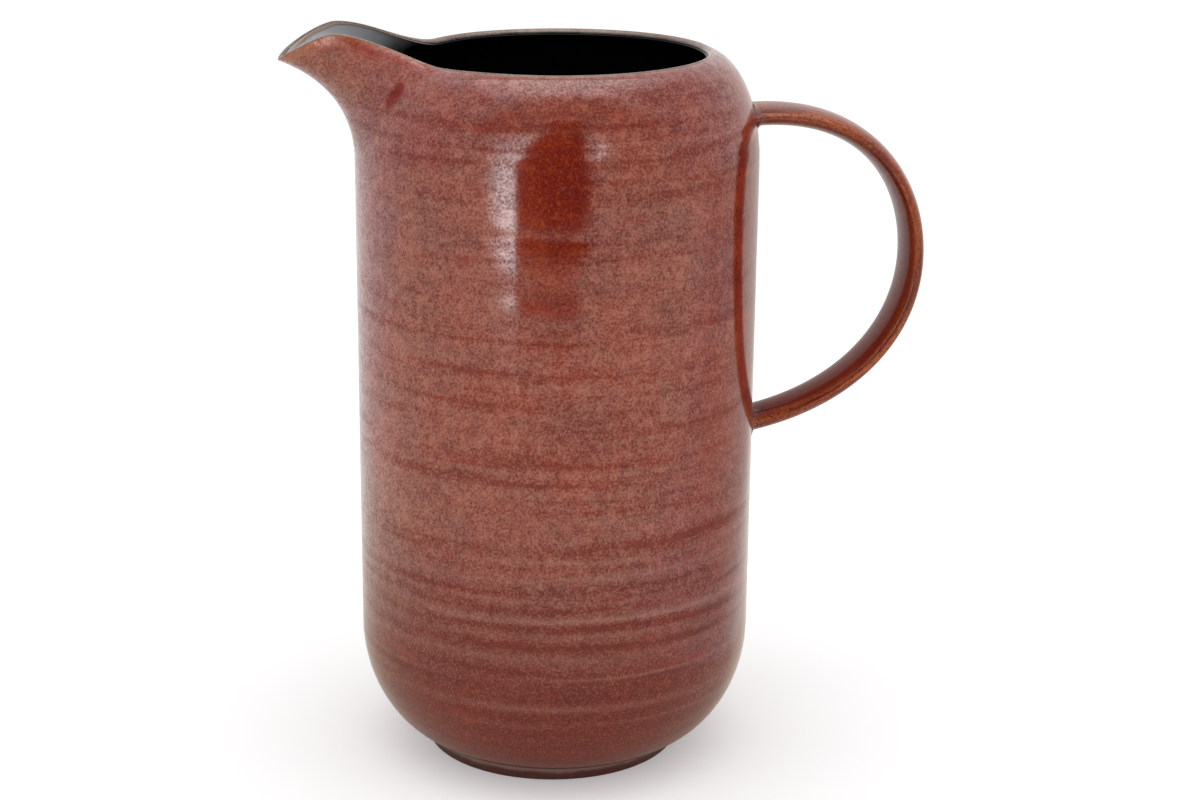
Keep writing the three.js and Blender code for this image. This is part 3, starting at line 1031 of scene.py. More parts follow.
@dataclass(frozen=True)
class VesselForm:
    """Sizes and formulas of the vessel and its pulled spout, in millimetres.

    Angles are measured round the jug's axis from the middle of the spout, which points to -X.
    """

    body_radius: float = 61.98
    wall: float = 4.5
    floor: float = 5.5
    rim_height: float = 222.6
    mouth_radius: float = 45.1
    lip_thickness: float = 2.0
    lip_drop: float = 1.1
    lip_crown: float = 0.7
    crown_sector: Range = (0.7, 1.1)
    shoulder_rise: float = 32.7
    shoulder_sweep: float = math.radians(83)
    base_curve_in: float = 28.4
    base_curve_up: float = 37.3
    underside_height: float = 2.9
    spout_half_angle: float = math.radians(39)
    spout_overhang: float = 22.4
    spout_tip_drop: float = 1.9
    spout_tip_lift: float = 0.6
    spout_tip_run: float = 8.5
    spout_tip_pitch: float = 2.0
    spout_tip_mitre: float = 1.45
    spout_crest_overhang: float = 5.2
    spout_crest_half_width: float = 11.7
    spout_crest_rise: float = 7.6
    spout_crest_heading: float = math.radians(12)
    spout_crest_front_run: float = 4.4
    spout_crest_back_run: float = 10.1
    spout_corner_run: float = 10.5
    spout_corner_sag: float = 0.3
    spout_sag_spread: float = math.radians(14)
    spout_lip: float = 1.3
    spout_crown: float = 0.3
    spout_throat_rise: float = 22.0
    spout_seam_power: float = 2.3
    spout_spread: float = 1.25
    spout_columns: int = 88
    back_columns: int = 124
    length_steps: int = 40
    lean: Point = (0.35, 0.43, 0.08)
    lean_start: float = 160.0
    lean_rise: float = 60.0
    lean_radius: float = 45.0
    spout_twist: float = 0.036
    twist_start: float = 45.0
    twist_run: float = 20.0

    @property
    def shoulder_start(self) -> float:
        """Height where the straight wall turns into the shoulder."""
        return self.rim_height - self.shoulder_rise

    @property
    def base_top(self) -> float:
        """Height where the rounded base turns into the straight wall."""
        return self.underside_height + self.base_curve_up

    def skin(self, depth: float, inset: float = 0.0) -> Skin:
        """A nested skin.

        Args:
            depth: 0 is the outside of the clay, 1 its inside.
            inset: a further length inwards.

        Returns:
            The skin's sizes.
        """
        radius = self.body_radius - self.wall * depth - inset
        rim_radius = self.mouth_radius + self.lip_thickness * (1 - depth) - inset
        rim_height = self.rim_height - self.lip_drop * depth - inset
        return Skin(
            radius=radius,
            base_in=self.base_curve_in - self.wall * depth - inset,
            base_up=self.base_curve_up - self.floor * depth - inset,
            shoulder_in=(radius - rim_radius) / (1 - math.cos(self.shoulder_sweep)),
            shoulder_up=(rim_height - self.shoulder_start) / math.sin(self.shoulder_sweep),
            lip=self.spout_lip * depth + inset,
            tip_height=self.rim_height - self.spout_tip_drop + self.spout_tip_lift * depth + inset,
        )

    def angles(self) -> Array:
        """Angles of the columns, closer together in the spout.

        Returns:
            The angles, from -pi to pi, from one of the spout's corners round the jug.
        """
        half = self.spout_half_angle
        front = np.linspace(-half, half, self.spout_columns, endpoint=False)
        back = np.linspace(half, 2 * math.pi - half, self.back_columns, endpoint=False)
        around = np.concatenate([front, back])
        return np.where(around > math.pi, around - 2 * math.pi, around)

    def settle(self, points: Array) -> Array:
        """Lets the rim lean and bow a little, as the potter's hand left it.

        The lift is a blend of cos, sin and cos 2 of the angle round the axis, and it fades with
        the square of the height below the rim. The spout is twisted: its far side stands higher.

        Args:
            points: points of the true form.

        Returns:
            The points, lifted or lowered.
        """
        x, y, z = np.moveaxis(points, -1, 0)
        turn = np.arctan2(y, x)
        to_handle, away, bow = self.lean
        lift = to_handle * np.cos(turn) + away * np.sin(turn) + bow * np.cos(2 * turn)
        grow = np.clip(np.hypot(x, y) / self.lean_radius, 0, 1)
        fade = np.clip((z - self.lean_start) / self.lean_rise, 0, 1) ** 2
        forward = smooth_step(self.twist_start, self.twist_start + self.twist_run, -x)
        return np.stack([x, y, z + (lift * grow + self.spout_twist * y * forward) * fade], axis=-1)

    @staticmethod
    def around(angle: Array, radius: Array, height: Array) -> Array:
        """Points at angles round the axis: (-r cos, -r sin, height)."""
        angle, radius, height = np.broadcast_arrays(angle, radius, height)
        return np.stack([-radius * np.cos(angle), -radius * np.sin(angle), height], axis=-1)

    def outside_radius(self, height: Array) -> Array:
        """Outside radius of the straight wall and the shoulder: a line, then an ellipse.

        Args:
            height: heights above the base.

        Returns:
            The radii at those heights.
        """
        skin = self.skin(0)
        sine = np.clip((height - self.shoulder_start) / skin.shoulder_up, 0, 1)
        return skin.radius - skin.shoulder_in * (1 - np.sqrt(1 - sine * sine))

    def shoulder(self, skin: Skin, angle: Array, rise: Array) -> Array:
        """Points of the shoulder.

        The shoulder is part of an ellipse from the wall, rise 0, to the rim, rise 1, lowered near
        the two corners of the spout by a bell curve that grows with the square of the rise.

        Args:
            skin: the skin that is followed.
            angle: angles round the axis.
            rise: shares of the way up.

        Returns:
            The points, one more axis of 3.
        """
        turn = self.shoulder_sweep * rise
        radius = skin.radius - skin.shoulder_in * (1 - np.cos(turn))
        near_corner = bell(np.abs(angle) - self.spout_half_angle, self.spout_sag_spread)
        sag = self.spout_corner_sag * rise ** 2 * near_corner
        height = self.shoulder_start + skin.shoulder_up * np.sin(turn) - sag
        return self.around(angle, radius, height)

    def spout_rim(self, skin: Skin, share: Array) -> Array:
        """The pulled rim: two cubic curves, from the tip over the crest to the mouth's corner.

        Args:
            skin: the skin that is followed.
            share: 0 at the tip, 1 at a corner, negative on the other side.

        Returns:
            The points of the rim.
        """
        half, heading = self.spout_half_angle, self.spout_crest_heading
        corner = self.shoulder(skin, np.array(half), np.array(1.0))
        toward = np.array([-math.cos(heading), math.sin(heading), 0.0])
        reach = self.body_radius + self.spout_overhang
        tip = np.array([-reach + skin.lip * self.spout_tip_mitre, 0.0, skin.tip_height])
        crest = np.array([
            -self.body_radius - self.spout_crest_overhang + skin.lip * math.sin(heading),
            -self.spout_crest_half_width + skin.lip * math.cos(heading),
            self.rim_height + self.spout_crest_rise,
        ])
        leave = np.array([0.0, skin.lip / 2 - self.spout_tip_run, self.spout_tip_pitch])
        round_mouth = self.around(half - math.pi / 2, self.spout_corner_run, 0.0)
        front = np.array([tip, tip + leave, crest + toward * self.spout_crest_front_run, crest])
        back = np.array([crest, crest - toward * self.spout_crest_back_run, corner + round_mouth, corner])
        along = 2 * np.abs(share)
        fore, aft = np.clip(along, 0, 1), np.clip(along - 1, 0, 1)
        rim = np.where(along[..., None] < 1, cubic(front, fore), cubic(back, aft))
        rim[..., 1] *= np.sign(share)
        return rim

    def upper_wall(self, skin: Skin, rows: int) -> tuple[Array, dict[Field, Array], Array]:
        """The shoulder, and in the spout's sector the spout that bends out of it.

        Each column climbs the shoulder to the seam, then follows a quadratic curve that leaves
        along the shoulder and ends on the pulled rim. Rows are shared out by length.

        Args:
            skin: the skin that is followed.
            rows: number of rows, the first on the wall's top edge.

        Returns:
            The points, columns x rows x 3, the fields of the surface, and the distance of each
            point from the seam along its column, positive in the spout.
        """
        angle = self.angles()[:, None]
        share = angle / self.spout_half_angle
        seam = np.minimum(1.0, np.abs(share) ** self.spout_seam_power)
        root = self.shoulder(skin, angle, seam)
        step = 0.001
        upward = self.shoulder(skin, angle, seam + step) - root
        upward /= np.linalg.norm(upward, axis=-1, keepdims=True)
        throat = np.maximum(0.0, 1 - share ** 2)[..., None] * self.spout_throat_rise
        pull = root + upward * throat
        rim = np.where(np.abs(share)[..., None] < 1, self.spout_rim(skin, np.clip(share, -1, 1)), root)

        def climb(rise: Array) -> Array:
            """The shoulder up to the seam."""
            return self.shoulder(skin, angle, seam * rise)

        def draw_out(t: Array) -> Array:
            """The spout from the seam to its rim."""
            t = t[..., None]
            return (1 - t) ** 2 * root + 2 * t * (1 - t) * pull + t * t * rim

        def length(path: Array) -> Array:
            """Lengths of the columns of a path."""
            return np.linalg.norm(np.diff(path, axis=1), axis=-1).sum(axis=1, keepdims=True)

        even = np.linspace(0, 1, self.length_steps)[None, :]
        below, above = length(climb(even)), length(draw_out(even))
        total = below + above
        split = below / total
        t = np.linspace(0, 1, rows)[None, :]
        tiny = 1e-9
        low = np.clip(t / np.maximum(split, tiny), 0, 1)
        high = np.clip((t - split) / np.maximum(1 - split, tiny), 0, 1)
        points = np.where((t <= split)[..., None], climb(low), draw_out(high))
        near = np.clip(self.spout_spread * (1 - np.abs(share)), 0, 1)
        side = np.abs(share) * np.ones_like(t)
        fields = {Field.RIM_GAP: (1 - t) * total, Field.SPOUT: high * np.sqrt(near), Field.SIDE: side}
        return points, fields, (t - split) * total

    def meridians(self, skin: Skin, rows: tuple[int, int, int]) -> tuple[Array, dict[Field, Array], Array]:
        """A whole skin from the edge of its flat floor to its rim.

        The base is a quarter of an ellipse, the wall a straight line, and the rest as upper_wall.

        Args:
            skin: the skin that is followed.
            rows: numbers of rows of the base, of the wall and above the wall.

        Returns:
            The points, columns x rows x 3, the fields, and the distances from the spout's seam.
        """
        angle = self.angles()[:, None]
        base_rows, wall_rows, upper_rows = rows
        turn = np.linspace(0, math.pi / 2, base_rows, endpoint=False)[None, :]
        radius = skin.radius - skin.base_in * (1 - np.sin(turn))
        base = self.around(angle, radius, self.base_top - skin.base_up * np.cos(turn))
        climb = np.linspace(self.base_top, self.shoulder_start, wall_rows, endpoint=False)[None, :]
        wall = self.around(angle, skin.radius, climb)
        upper, fields, seam_gap = self.upper_wall(skin, upper_rows)
        lower = np.concatenate([base, wall], axis=1)
        plain = np.zeros(lower.shape[:2])
        far = fields[Field.RIM_GAP][:, :1] + self.shoulder_start - lower[..., 2]
        fields = {
            Field.RIM_GAP: np.concatenate([far, fields[Field.RIM_GAP]], axis=1),
            Field.SPOUT: np.concatenate([plain, fields[Field.SPOUT]], axis=1),
            Field.SIDE: np.concatenate([plain + fields[Field.SIDE][:, :1], fields[Field.SIDE]], axis=1),
        }
        far_below = seam_gap[:, :1] - self.rim_height
        seam_gap = np.concatenate([plain + far_below, seam_gap], axis=1)
        return np.concatenate([lower, upper], axis=1), fields, seam_gap

    def lip(self, outer: Array, inner: Array, rows: int, crowned: bool) -> tuple[Array, Array]:
        """The rounded top of the lip, half a turn from the outer rim to the inner one.

        Args:
            outer: the outer rim, columns x 3.
            inner: the inner rim, columns x 3.
            rows: number of rows between the two.
            crowned: True where the middle stands up, which it does less in the spout.

        Returns:
            The points, columns x rows x 3, and the gaps to the outer rim, negative inwards.
        """
        turn = np.linspace(0, math.pi, rows + 2)[None, 1:-1]
        across = (1 - np.cos(turn)) / 2
        points = outer[:, None] + (inner - outer)[:, None] * across[..., None]
        beyond = smooth_step(*self.crown_sector, np.abs(self.angles()[:, None]) / self.spout_half_angle)
        crown = self.spout_crown + (self.lip_crown - self.spout_crown) * beyond
        points[..., 2] += crown * np.sin(turn) * crowned
        return points, -self.lip_thickness * across * np.ones_like(crown)


@dataclass
class Vessel:
    """The thrown and glazed vessel with its pulled spout, in one surface.

    Attributes:
        form: the vessel's sizes and formulas.
        rings: the throwing rings.
        mark: the tool mark beside the spout.
        outer_rows: rows of the outside's base, wall and upper part.
        inner_rows: rows of the inside's base, wall and upper part.
        lip_rows: rows across the lip.
        seam_width: how far from the spout's seam the wall is smoothed, in millimetres.
        seam_passes: how often it is smoothed.
        seam_sector: where the smoothing ends beside the spout, in half sectors of the spout.
        seam_gap: gaps to the rim between which the smoothing sets in.
        ring_gap: gaps to the rim between which the rings set in.
        ring_height: heights between which the rings set in.
        spout_calm: how far the rings fade in the spout.
    """

    form: VesselForm
    rings: ThrowingRings = ThrowingRings()
    mark: ToolMark = ToolMark()
    outer_rows: tuple[int, int, int] = (48, 230, 64)
    inner_rows: tuple[int, int, int] = (14, 16, 36)
    lip_rows: int = 8
    seam_width: float = 7.0
    seam_passes: int = 30
    seam_sector: Range = (0.95, 1.15)
    seam_gap: Range = (1.0, 6.0)
    ring_gap: Range = (4.0, 10.0)
    ring_height: Range = (5.0, 16.0)
    spout_calm: float = 0.8

    def relaxed(self, points: Array, weight: Array) -> Array:
        """Smooths a grid: each pass moves a point halfway to the mean of its four neighbours.

        Args:
            points: columns x rows x 3.
            weight: how much each point takes part, from 0 to 1.

        Returns:
            The smoothed points. The first and last rows stay.
        """
        for _ in range(self.seam_passes):
            beside = np.roll(points, 1, axis=0) + np.roll(points, -1, axis=0)
            inner = (beside[:, 1:-1] + points[:, :-2] + points[:, 2:]) / 4
            moved = (inner - points[:, 1:-1]) * weight[:, 1:-1, None] / 2
            points = points.copy()
            points[:, 1:-1] += moved
        return points

    def surface(self) -> ClosedSurface:
        """The vessel's outside, lip and inside.

        The outside is smoothed along the spout's seam and drawn in by the throwing rings, which
        fade at the foot, at the rim and in the spout, and by the mark beside the spout.

        Returns:
            The closed surface, with the gap to the rim (negative inside) and the glaze's fields.
        """
        form = self.form
        angle = form.angles()[:, None]
        outer, fields, seam_gap = form.meridians(form.skin(0), self.outer_rows)
        inner, inner_fields, _ = form.meridians(form.skin(1), self.inner_rows)
        rim_gap, spout = fields[Field.RIM_GAP], fields[Field.SPOUT]
        beside = 1 - smooth_step(*self.seam_sector, np.abs(angle) / form.spout_half_angle)
        seam = bell(seam_gap, self.seam_width) * beside * smooth_step(*self.seam_gap, rim_gap)
        outer = self.relaxed(outer, seam)
        above_foot = smooth_step(*self.ring_height, outer[..., 2])
        clear = smooth_step(*self.ring_gap, rim_gap) * above_foot * (1 - self.spout_calm * spout)
        groove, tint = self.rings.grooves(outer[..., 2], angle)
        dent = self.mark.dent(outer)
        outer = outer - form.around(angle, groove * clear + self.mark.depth * dent, 0.0)
        lip, lip_gap = form.lip(outer[:, -1], inner[:, -1], self.lip_rows, True)
        flat = np.zeros(lip.shape[:2])
        bare = np.zeros(inner.shape[:2])
        back = slice(None, None, -1)
        side = fields[Field.SIDE]
        carried = {
            Field.RIM_GAP: [rim_gap, lip_gap, -form.lip_thickness - inner_fields[Field.RIM_GAP][:, back]],
            Field.RING: [tint * clear, flat, bare],
            Field.SPOUT: [spout, flat, bare],
            Field.SIDE: [side, flat + side[:, -1:], bare + side[:, -1:]],
            Field.DENT: [dent, flat, bare],
        }
        return ClosedSurface(
            points=form.settle(np.concatenate([outer, lip, inner[:, back]], axis=1)),
            fields={key: np.concatenate(parts, axis=1) for key, parts in carried.items()},
        )

    def build(self, offset: Array) -> None:
        """Makes the vessel at the jug's axis and dresses it."""
        piece = self.surface().to_object("glazed_vessel", offset)
        put(piece, RedBrownGlaze().build(), ("body", "spout", "spout_slip_joint"))


@dataclass
class Lining:
    """The black glaze inside the vessel and the spout, a thin coat that ends below the lip.

    Attributes:
        form: the vessel's sizes and formulas.
        gap: the gap to the clay, in millimetres.
        coat: the coat's thickness.
        rows: rows of its base, wall and upper part.
        edge_rows: rows across its top edge.
    """

    form: VesselForm
    gap: float = 0.05
    coat: float = 0.3
    rows: tuple[int, int, int] = (20, 24, 48)
    edge_rows: int = 2

    def surface(self) -> ClosedSurface:
        """The coat between two skins just inside the clay.

        Returns:
            The closed surface, with the share of the spout and the gap to the rim.
        """
        form = self.form
        outer, outer_fields, _ = form.meridians(form.skin(1, self.gap), self.rows)
        inner, inner_fields, _ = form.meridians(form.skin(1, self.gap + self.coat), self.rows)
        edge, _ = form.lip(outer[:, -1], inner[:, -1], self.edge_rows, False)
        fields = {}
        for key in (Field.SPOUT, Field.RIM_GAP):
            start, end = outer_fields[key], inner_fields[key]
            top = np.repeat(end[:, -1:], self.edge_rows, axis=1)
            fields[key] = np.concatenate([start, top, end[:, ::-1]], axis=1)
        points = form.settle(np.concatenate([outer, edge, inner[:, ::-1]], axis=1))
        return ClosedSurface(points=points, fields=fields)

    def build(self, offset: Array) -> None:
        """Makes the lining at the jug's axis and dresses it."""
        piece = self.surface().to_object("black_lining", offset)
        put(piece, BlackGlaze().build(), ("inner_glaze",))


@dataclass
class FootRing:
    """The turned foot: a ring with rounded lower edges, let into the base, a little off its middle.

    Attributes:
        form: the vessel's sizes and formulas.
        radius: outer radius at the flat, in millimetres.
        width: width of the ring.
        shift: how far its middle lies from the jug's axis.
        flare: how much wider it is at the base.
        flare_power: how late it widens.
        edge: radius of its lower edges.
        let_in: how far it goes into the base.
        columns: steps round it.
        edge_rows: steps round each lower edge.
        side_rows: steps up its outer side and under the base.
    """

    form: VesselForm
    radius: float = 40.4
    width: float = 6.0
    shift: float = -0.7
    flare: float = 1.8
    flare_power: float = 1.6
    edge: float = 0.8
    let_in: float = 0.25
    columns: int = 256
    edge_rows: int = 6
    side_rows: int = 6

    def seat(self, radius: Array) -> Array:
        """Height of the base's underside, on the base's ellipse.

        Args:
            radius: distances from the jug's axis.

        Returns:
            The heights there.
        """
        skin = self.form.skin(0)
        sine = np.clip((radius - skin.radius + skin.base_in) / skin.base_in, 0, 1)
        return self.form.base_top - skin.base_up * np.sqrt(1 - sine * sine)

    def surface(self) -> ClosedSurface:
        """A closed profile carried round the axis.

        The profile goes down the inner side, round a quarter circle, along the flat, round
        another quarter circle, up the flared outer side and back under the base.

        Returns:
            The closed ring.
        """
        inside, outside, top = self.radius - self.width, self.radius, self.radius + self.flare
        turn = np.linspace(0, math.pi / 2, self.edge_rows)
        share = np.linspace(0, 1, self.side_rows)[1:]
        rounded, upright = self.edge * (1 - np.cos(turn)), self.edge * (1 - np.sin(turn))
        inner_edge = np.stack([inside + rounded, upright], axis=-1)
        outer_edge = np.stack([outside - upright, rounded], axis=-1)
        angle = np.linspace(0, 2 * math.pi, self.columns, endpoint=False)[:, None]
        aside = np.array([self.shift, 0.0, 0.0])
        low_radius, low_height = np.concatenate([inner_edge, outer_edge]).T[:, None, :]
        low = self.form.around(angle, low_radius, low_height) + aside
        lid = self.form.around(angle, np.linspace(top, inside, self.side_rows)[None, :], 0.0) + aside
        lid[..., 2] = self.seat(np.hypot(lid[..., 0], lid[..., 1])) + self.let_in
        height = self.edge + (lid[:, :1, 2] - self.edge) * share
        side = self.form.around(angle, outside + self.flare * share ** self.flare_power, height) + aside
        return ClosedSurface(points=np.concatenate([low, side, lid[:, 1:]], axis=1), rows_closed=True)

    def build(self, offset: Array) -> None:
        """Makes the foot at the jug's axis and dresses it."""
        piece = self.surface().to_object("turned_foot", offset)
        put(piece, FootGlaze().build(), ("foot_ring",))


@dataclass
class Handle:
    """The pulled strap handle, with the slip at both roots smoothed into the wall.

    Attributes:
        form: the vessel's sizes and formulas.
        top_drop: the upper root's depth below the rim, in millimetres.
        low_height: height of the lower root.
        widest_height: height at which the strap stands out most.
        overhang: how far it stands out from the wall there.
        top_run: how far it runs out of the upper root before it bends.
        top_slope: how steeply it rises from there.
        upper_bend: how gently it bends above the widest point.
        lower_bend: how gently it bends below the widest point.
        low_run: how far it runs out of the lower root before it bends.
        low_slope: how steeply it rises from there.
        top_thickness: thickness at the upper root.
        low_thickness: thickness at the lower root.
        top_width: width at the upper root.
        low_width: width at the lower root.
        squareness: power of the section's superellipse, 1 for an ellipse.
        taper: how late width and thickness change along the strap.
        fillet: radius of the slip at the roots.
        buried: how far the strap goes into the wall.
        bend_rows: steps along each half of the strap.
        root_rows: steps inside the wall.
        sides: steps round the section.
        crowding: how much closer the steps lie at the roots.
        face_tilt: how far the strap's face value, which places the painted shade on the inner face, leans
            to one edge.
    """

    form: VesselForm
    top_drop: float = 19.5
    low_height: float = 105.3
    widest_height: float = 158.2
    overhang: float = 53.5
    top_run: float = 35.6
    top_slope: float = math.radians(4)
    upper_bend: float = 23.9
    lower_bend: float = 23.7
    low_run: float = 33.7
    low_slope: float = math.radians(12.7)
    top_thickness: float = 6.3
    low_thickness: float = 7.8
    top_width: float = 23.2
    low_width: float = 13.2
    squareness: float = 0.95
    taper: float = 2.2
    fillet: float = 1.6
    buried: float = 3.4
    bend_rows: int = 70
    root_rows: int = 4
    sides: int = 56
    crowding: float = 1.7
    face_tilt: float = 0.35

    def size(self, along: Array) -> tuple[Array, Array]:
        """The strap's width and thickness, which change with a power of the way along it.

        Args:
            along: 0 at the top, 1 below.

        Returns:
            Widths and thicknesses.
        """
        late = along ** self.taper
        width = self.top_width + (self.low_width - self.top_width) * late
        return width, self.top_thickness + (self.low_thickness - self.top_thickness) * late

    def middle_line(self) -> tuple[Array, Array, Array]:
        """The strap's middle line: two cubic curves in the jug's plane, run on into the wall.

        Returns:
            Points and unit tangents, rows x 3, and shares from 0 at the top to 1 below.
        """
        form = self.form
        top_height = form.rim_height - self.top_drop
        top = np.array([float(form.outside_radius(np.array(top_height))), 0.0, top_height])
        thickness = float(self.size(np.array(0.5))[1])
        widest = np.array([form.body_radius + self.overhang - thickness / 2, 0.0, self.widest_height])
        low = np.array([form.body_radius, 0.0, self.low_height])
        up = np.array([0.0, 0.0, 1.0])
        top_way, low_way = (
            np.array([math.cos(slope), 0.0, math.sin(slope)]) for slope in (self.top_slope, self.low_slope)
        )
        upper = np.array([top, top + top_way * self.top_run, widest + up * self.upper_bend, widest])
        lower = np.array([widest, widest - up * self.lower_bend, low + low_way * self.low_run, low])
        share = np.linspace(0, 1, self.bend_rows) ** self.crowding
        back = 1 - share[::-1]
        points = np.concatenate([cubic(upper, share), cubic(lower, back)[1:]])
        slopes = np.concatenate([cubic_slope(upper, share), cubic_slope(lower, back)[1:]])
        along = np.concatenate([share / 2, 0.5 + back[1:] / 2])
        sunk = np.linspace(self.buried, 0, self.root_rows, endpoint=False)[:, None]
        tangents = slopes / np.linalg.norm(slopes, axis=-1, keepdims=True)
        first, last = tangents[:1], tangents[-1:]
        points = np.concatenate([points[:1] - first * sunk, points, points[-1:] + last * sunk[::-1]])
        start, end = (np.repeat(tangent, self.root_rows, axis=0) for tangent in (first, last))
        along = np.concatenate([np.zeros(self.root_rows), along, np.ones(self.root_rows)])
        return points, np.concatenate([start, tangents, end]), along

    def surface(self) -> ClosedSurface:
        """A rounded section carried along the middle line.

        The section is a superellipse. Near the wall each point moves out by a hollow quarter
        circle of its distance from the wall, which is the slip that joins strap and vessel.

        Returns:
            The closed surface, with the way along the strap, the gap to the wall and the face.
        """
        centre, tangent, along = self.middle_line()
        across = np.array([0.0, 1.0, 0.0])
        outward = np.cross(across, tangent)
        turn = np.linspace(0, 2 * math.pi, self.sides, endpoint=False)[:, None]
        wide, thick = (np.sign(v) * np.abs(v) ** self.squareness for v in (np.cos(turn), np.sin(turn)))
        half_width, half_thickness = (size / 2 for size in self.size(along))

        def section(grow: Union[float, Array]) -> Array:
            """The strap with its section grown by a length."""
            sideways = ((half_width + grow) * wide)[..., None] * across
            return centre + sideways + ((half_thickness + grow) * thick)[..., None] * outward

        plain = section(0.0)
        gap = np.hypot(plain[..., 0], plain[..., 1]) - self.form.outside_radius(plain[..., 2])
        inside = self.fillet - np.clip(gap, 0, self.fillet)
        flare = self.fillet - np.sqrt(self.fillet ** 2 - inside ** 2)
        path = np.concatenate([[0.0], np.linalg.norm(np.diff(centre, axis=0), axis=-1).cumsum()])
        spread = np.ones_like(wide)
        fields = {
            Field.ALONG: path * MM * spread,
            Field.ROOT: gap,
            Field.FACE: np.sin(turn) * np.ones_like(path) + self.face_tilt * np.cos(turn),
        }
        return ClosedSurface(points=section(flare), fields=fields)

    def build(self, offset: Array) -> None:
        """Makes the handle and dresses it.

        Args:
            offset: the place of the jug's axis in the shared frame, in millimetres.
        """
        piece = self.surface().to_object("strap_handle", offset)
        nodes = ("handle", "upper_handle_slip_joint", "lower_handle_slip_joint")
        put(piece, HandleGlaze().build(), nodes)


WARM_ROOM: Colour = (0.95, 0.82, 0.68)
WHITE: Colour = (1.0, 1.0, 1.0)
CARD_STEPS = 41
HIDDEN_FROM = ("camera", "diffuse", "transmission", "shadow", "volume_scatter")


@dataclass(frozen=True)
class StudioCard:
    """A flat card before, above or beside the jug, which only the jug's gloss sees.

    Attributes:
        name: the card's name.
        outline: rows of (level, left, right, glow). Lengths are in metres from the jug's axis.
            The level is a height for an upright card and a distance towards the camera for a
            level one.
        distance: how far before the jug an upright card stands, or how high a level one lies.
        soft: shares of its width over which its left and right edges blend into what is around it.
        level: True for a card that lies level.
        tint: the colour of its light at a glow of 1.
        around: the colour of the light around it.
    """

    name: str
    outline: tuple[tuple[float, float, float, float], ...]
    distance: float
    soft: Range
    level: bool = False
    tint: Colour = WHITE
    around: Colour = WARM_ROOM

    def build(self, axis_x: float) -> None:
        """Makes the card: a grid between its left and right edges, row by row.

        Args:
            axis_x: the place of the jug's axis, in metres.
        """
        levels, left, right, glow = np.array(self.outline).T
        level = np.linspace(levels[0], levels[-1], CARD_STEPS)[:, None]
        left, right, glow = (np.interp(level, levels, edge) for edge in (left, right, glow))
        share = np.linspace(0, 1, CARD_STEPS)[None, :]
        x = left + (right - left) * share + axis_x
        away, level = np.full_like(x, self.distance), np.broadcast_to(level, x.shape)
        grid = [x, -level, away] if self.level else [x, -away, level]
        made = flat_sheet(self.name, np.stack(grid, axis=-1))
        start, end = self.soft
        edges = smooth_step(0.0, start, share) * smooth_step(0.0, end, 1 - share)
        around = np.array(self.around)
        light = around + (glow[..., None] * np.array(self.tint) - around) * edges[..., None]
        light = np.concatenate([light, np.ones_like(light[..., :1])], axis=-1).astype(np.float32)
        colours = made.data.attributes.new(Field.GLOW.value, "FLOAT_COLOR", "POINT")
        colours.data.foreach_set("color", light.ravel())
        material = bpy.data.materials.new(self.name)
        tree = ShaderTree(material)
        seen = tree.node("ShaderNodeAttribute", {"attribute_name": Field.GLOW.value}, {}, "Color")
        tree.finish(tree.node("ShaderNodeEmission", {}, {"Color": seen}))
        made.data.materials.append(material)
        for kind in HIDDEN_FROM:
            setattr(made, f"visible_{kind}", False)


def flat_sheet(name: str, points: Array) -> bpy.types.Object:
    """An open grid of points as a mesh object.

    Args:
        name: the object's name.
        points: rows x columns x 3, in metres.

    Returns:
        The new object.
    """
    rows, columns = points.shape[:2]
    here = np.arange(rows * columns).reshape(rows, columns)
    quads = np.stack([here[:-1, :-1], here[:-1, 1:], here[1:, 1:], here[1:, :-1]], axis=-1)
    mesh = bpy.data.meshes.new(name)
    mesh.from_pydata(points.reshape(-1, 3).tolist(), [], quads.reshape(-1, 4).tolist())
    return in_scene(name, mesh)


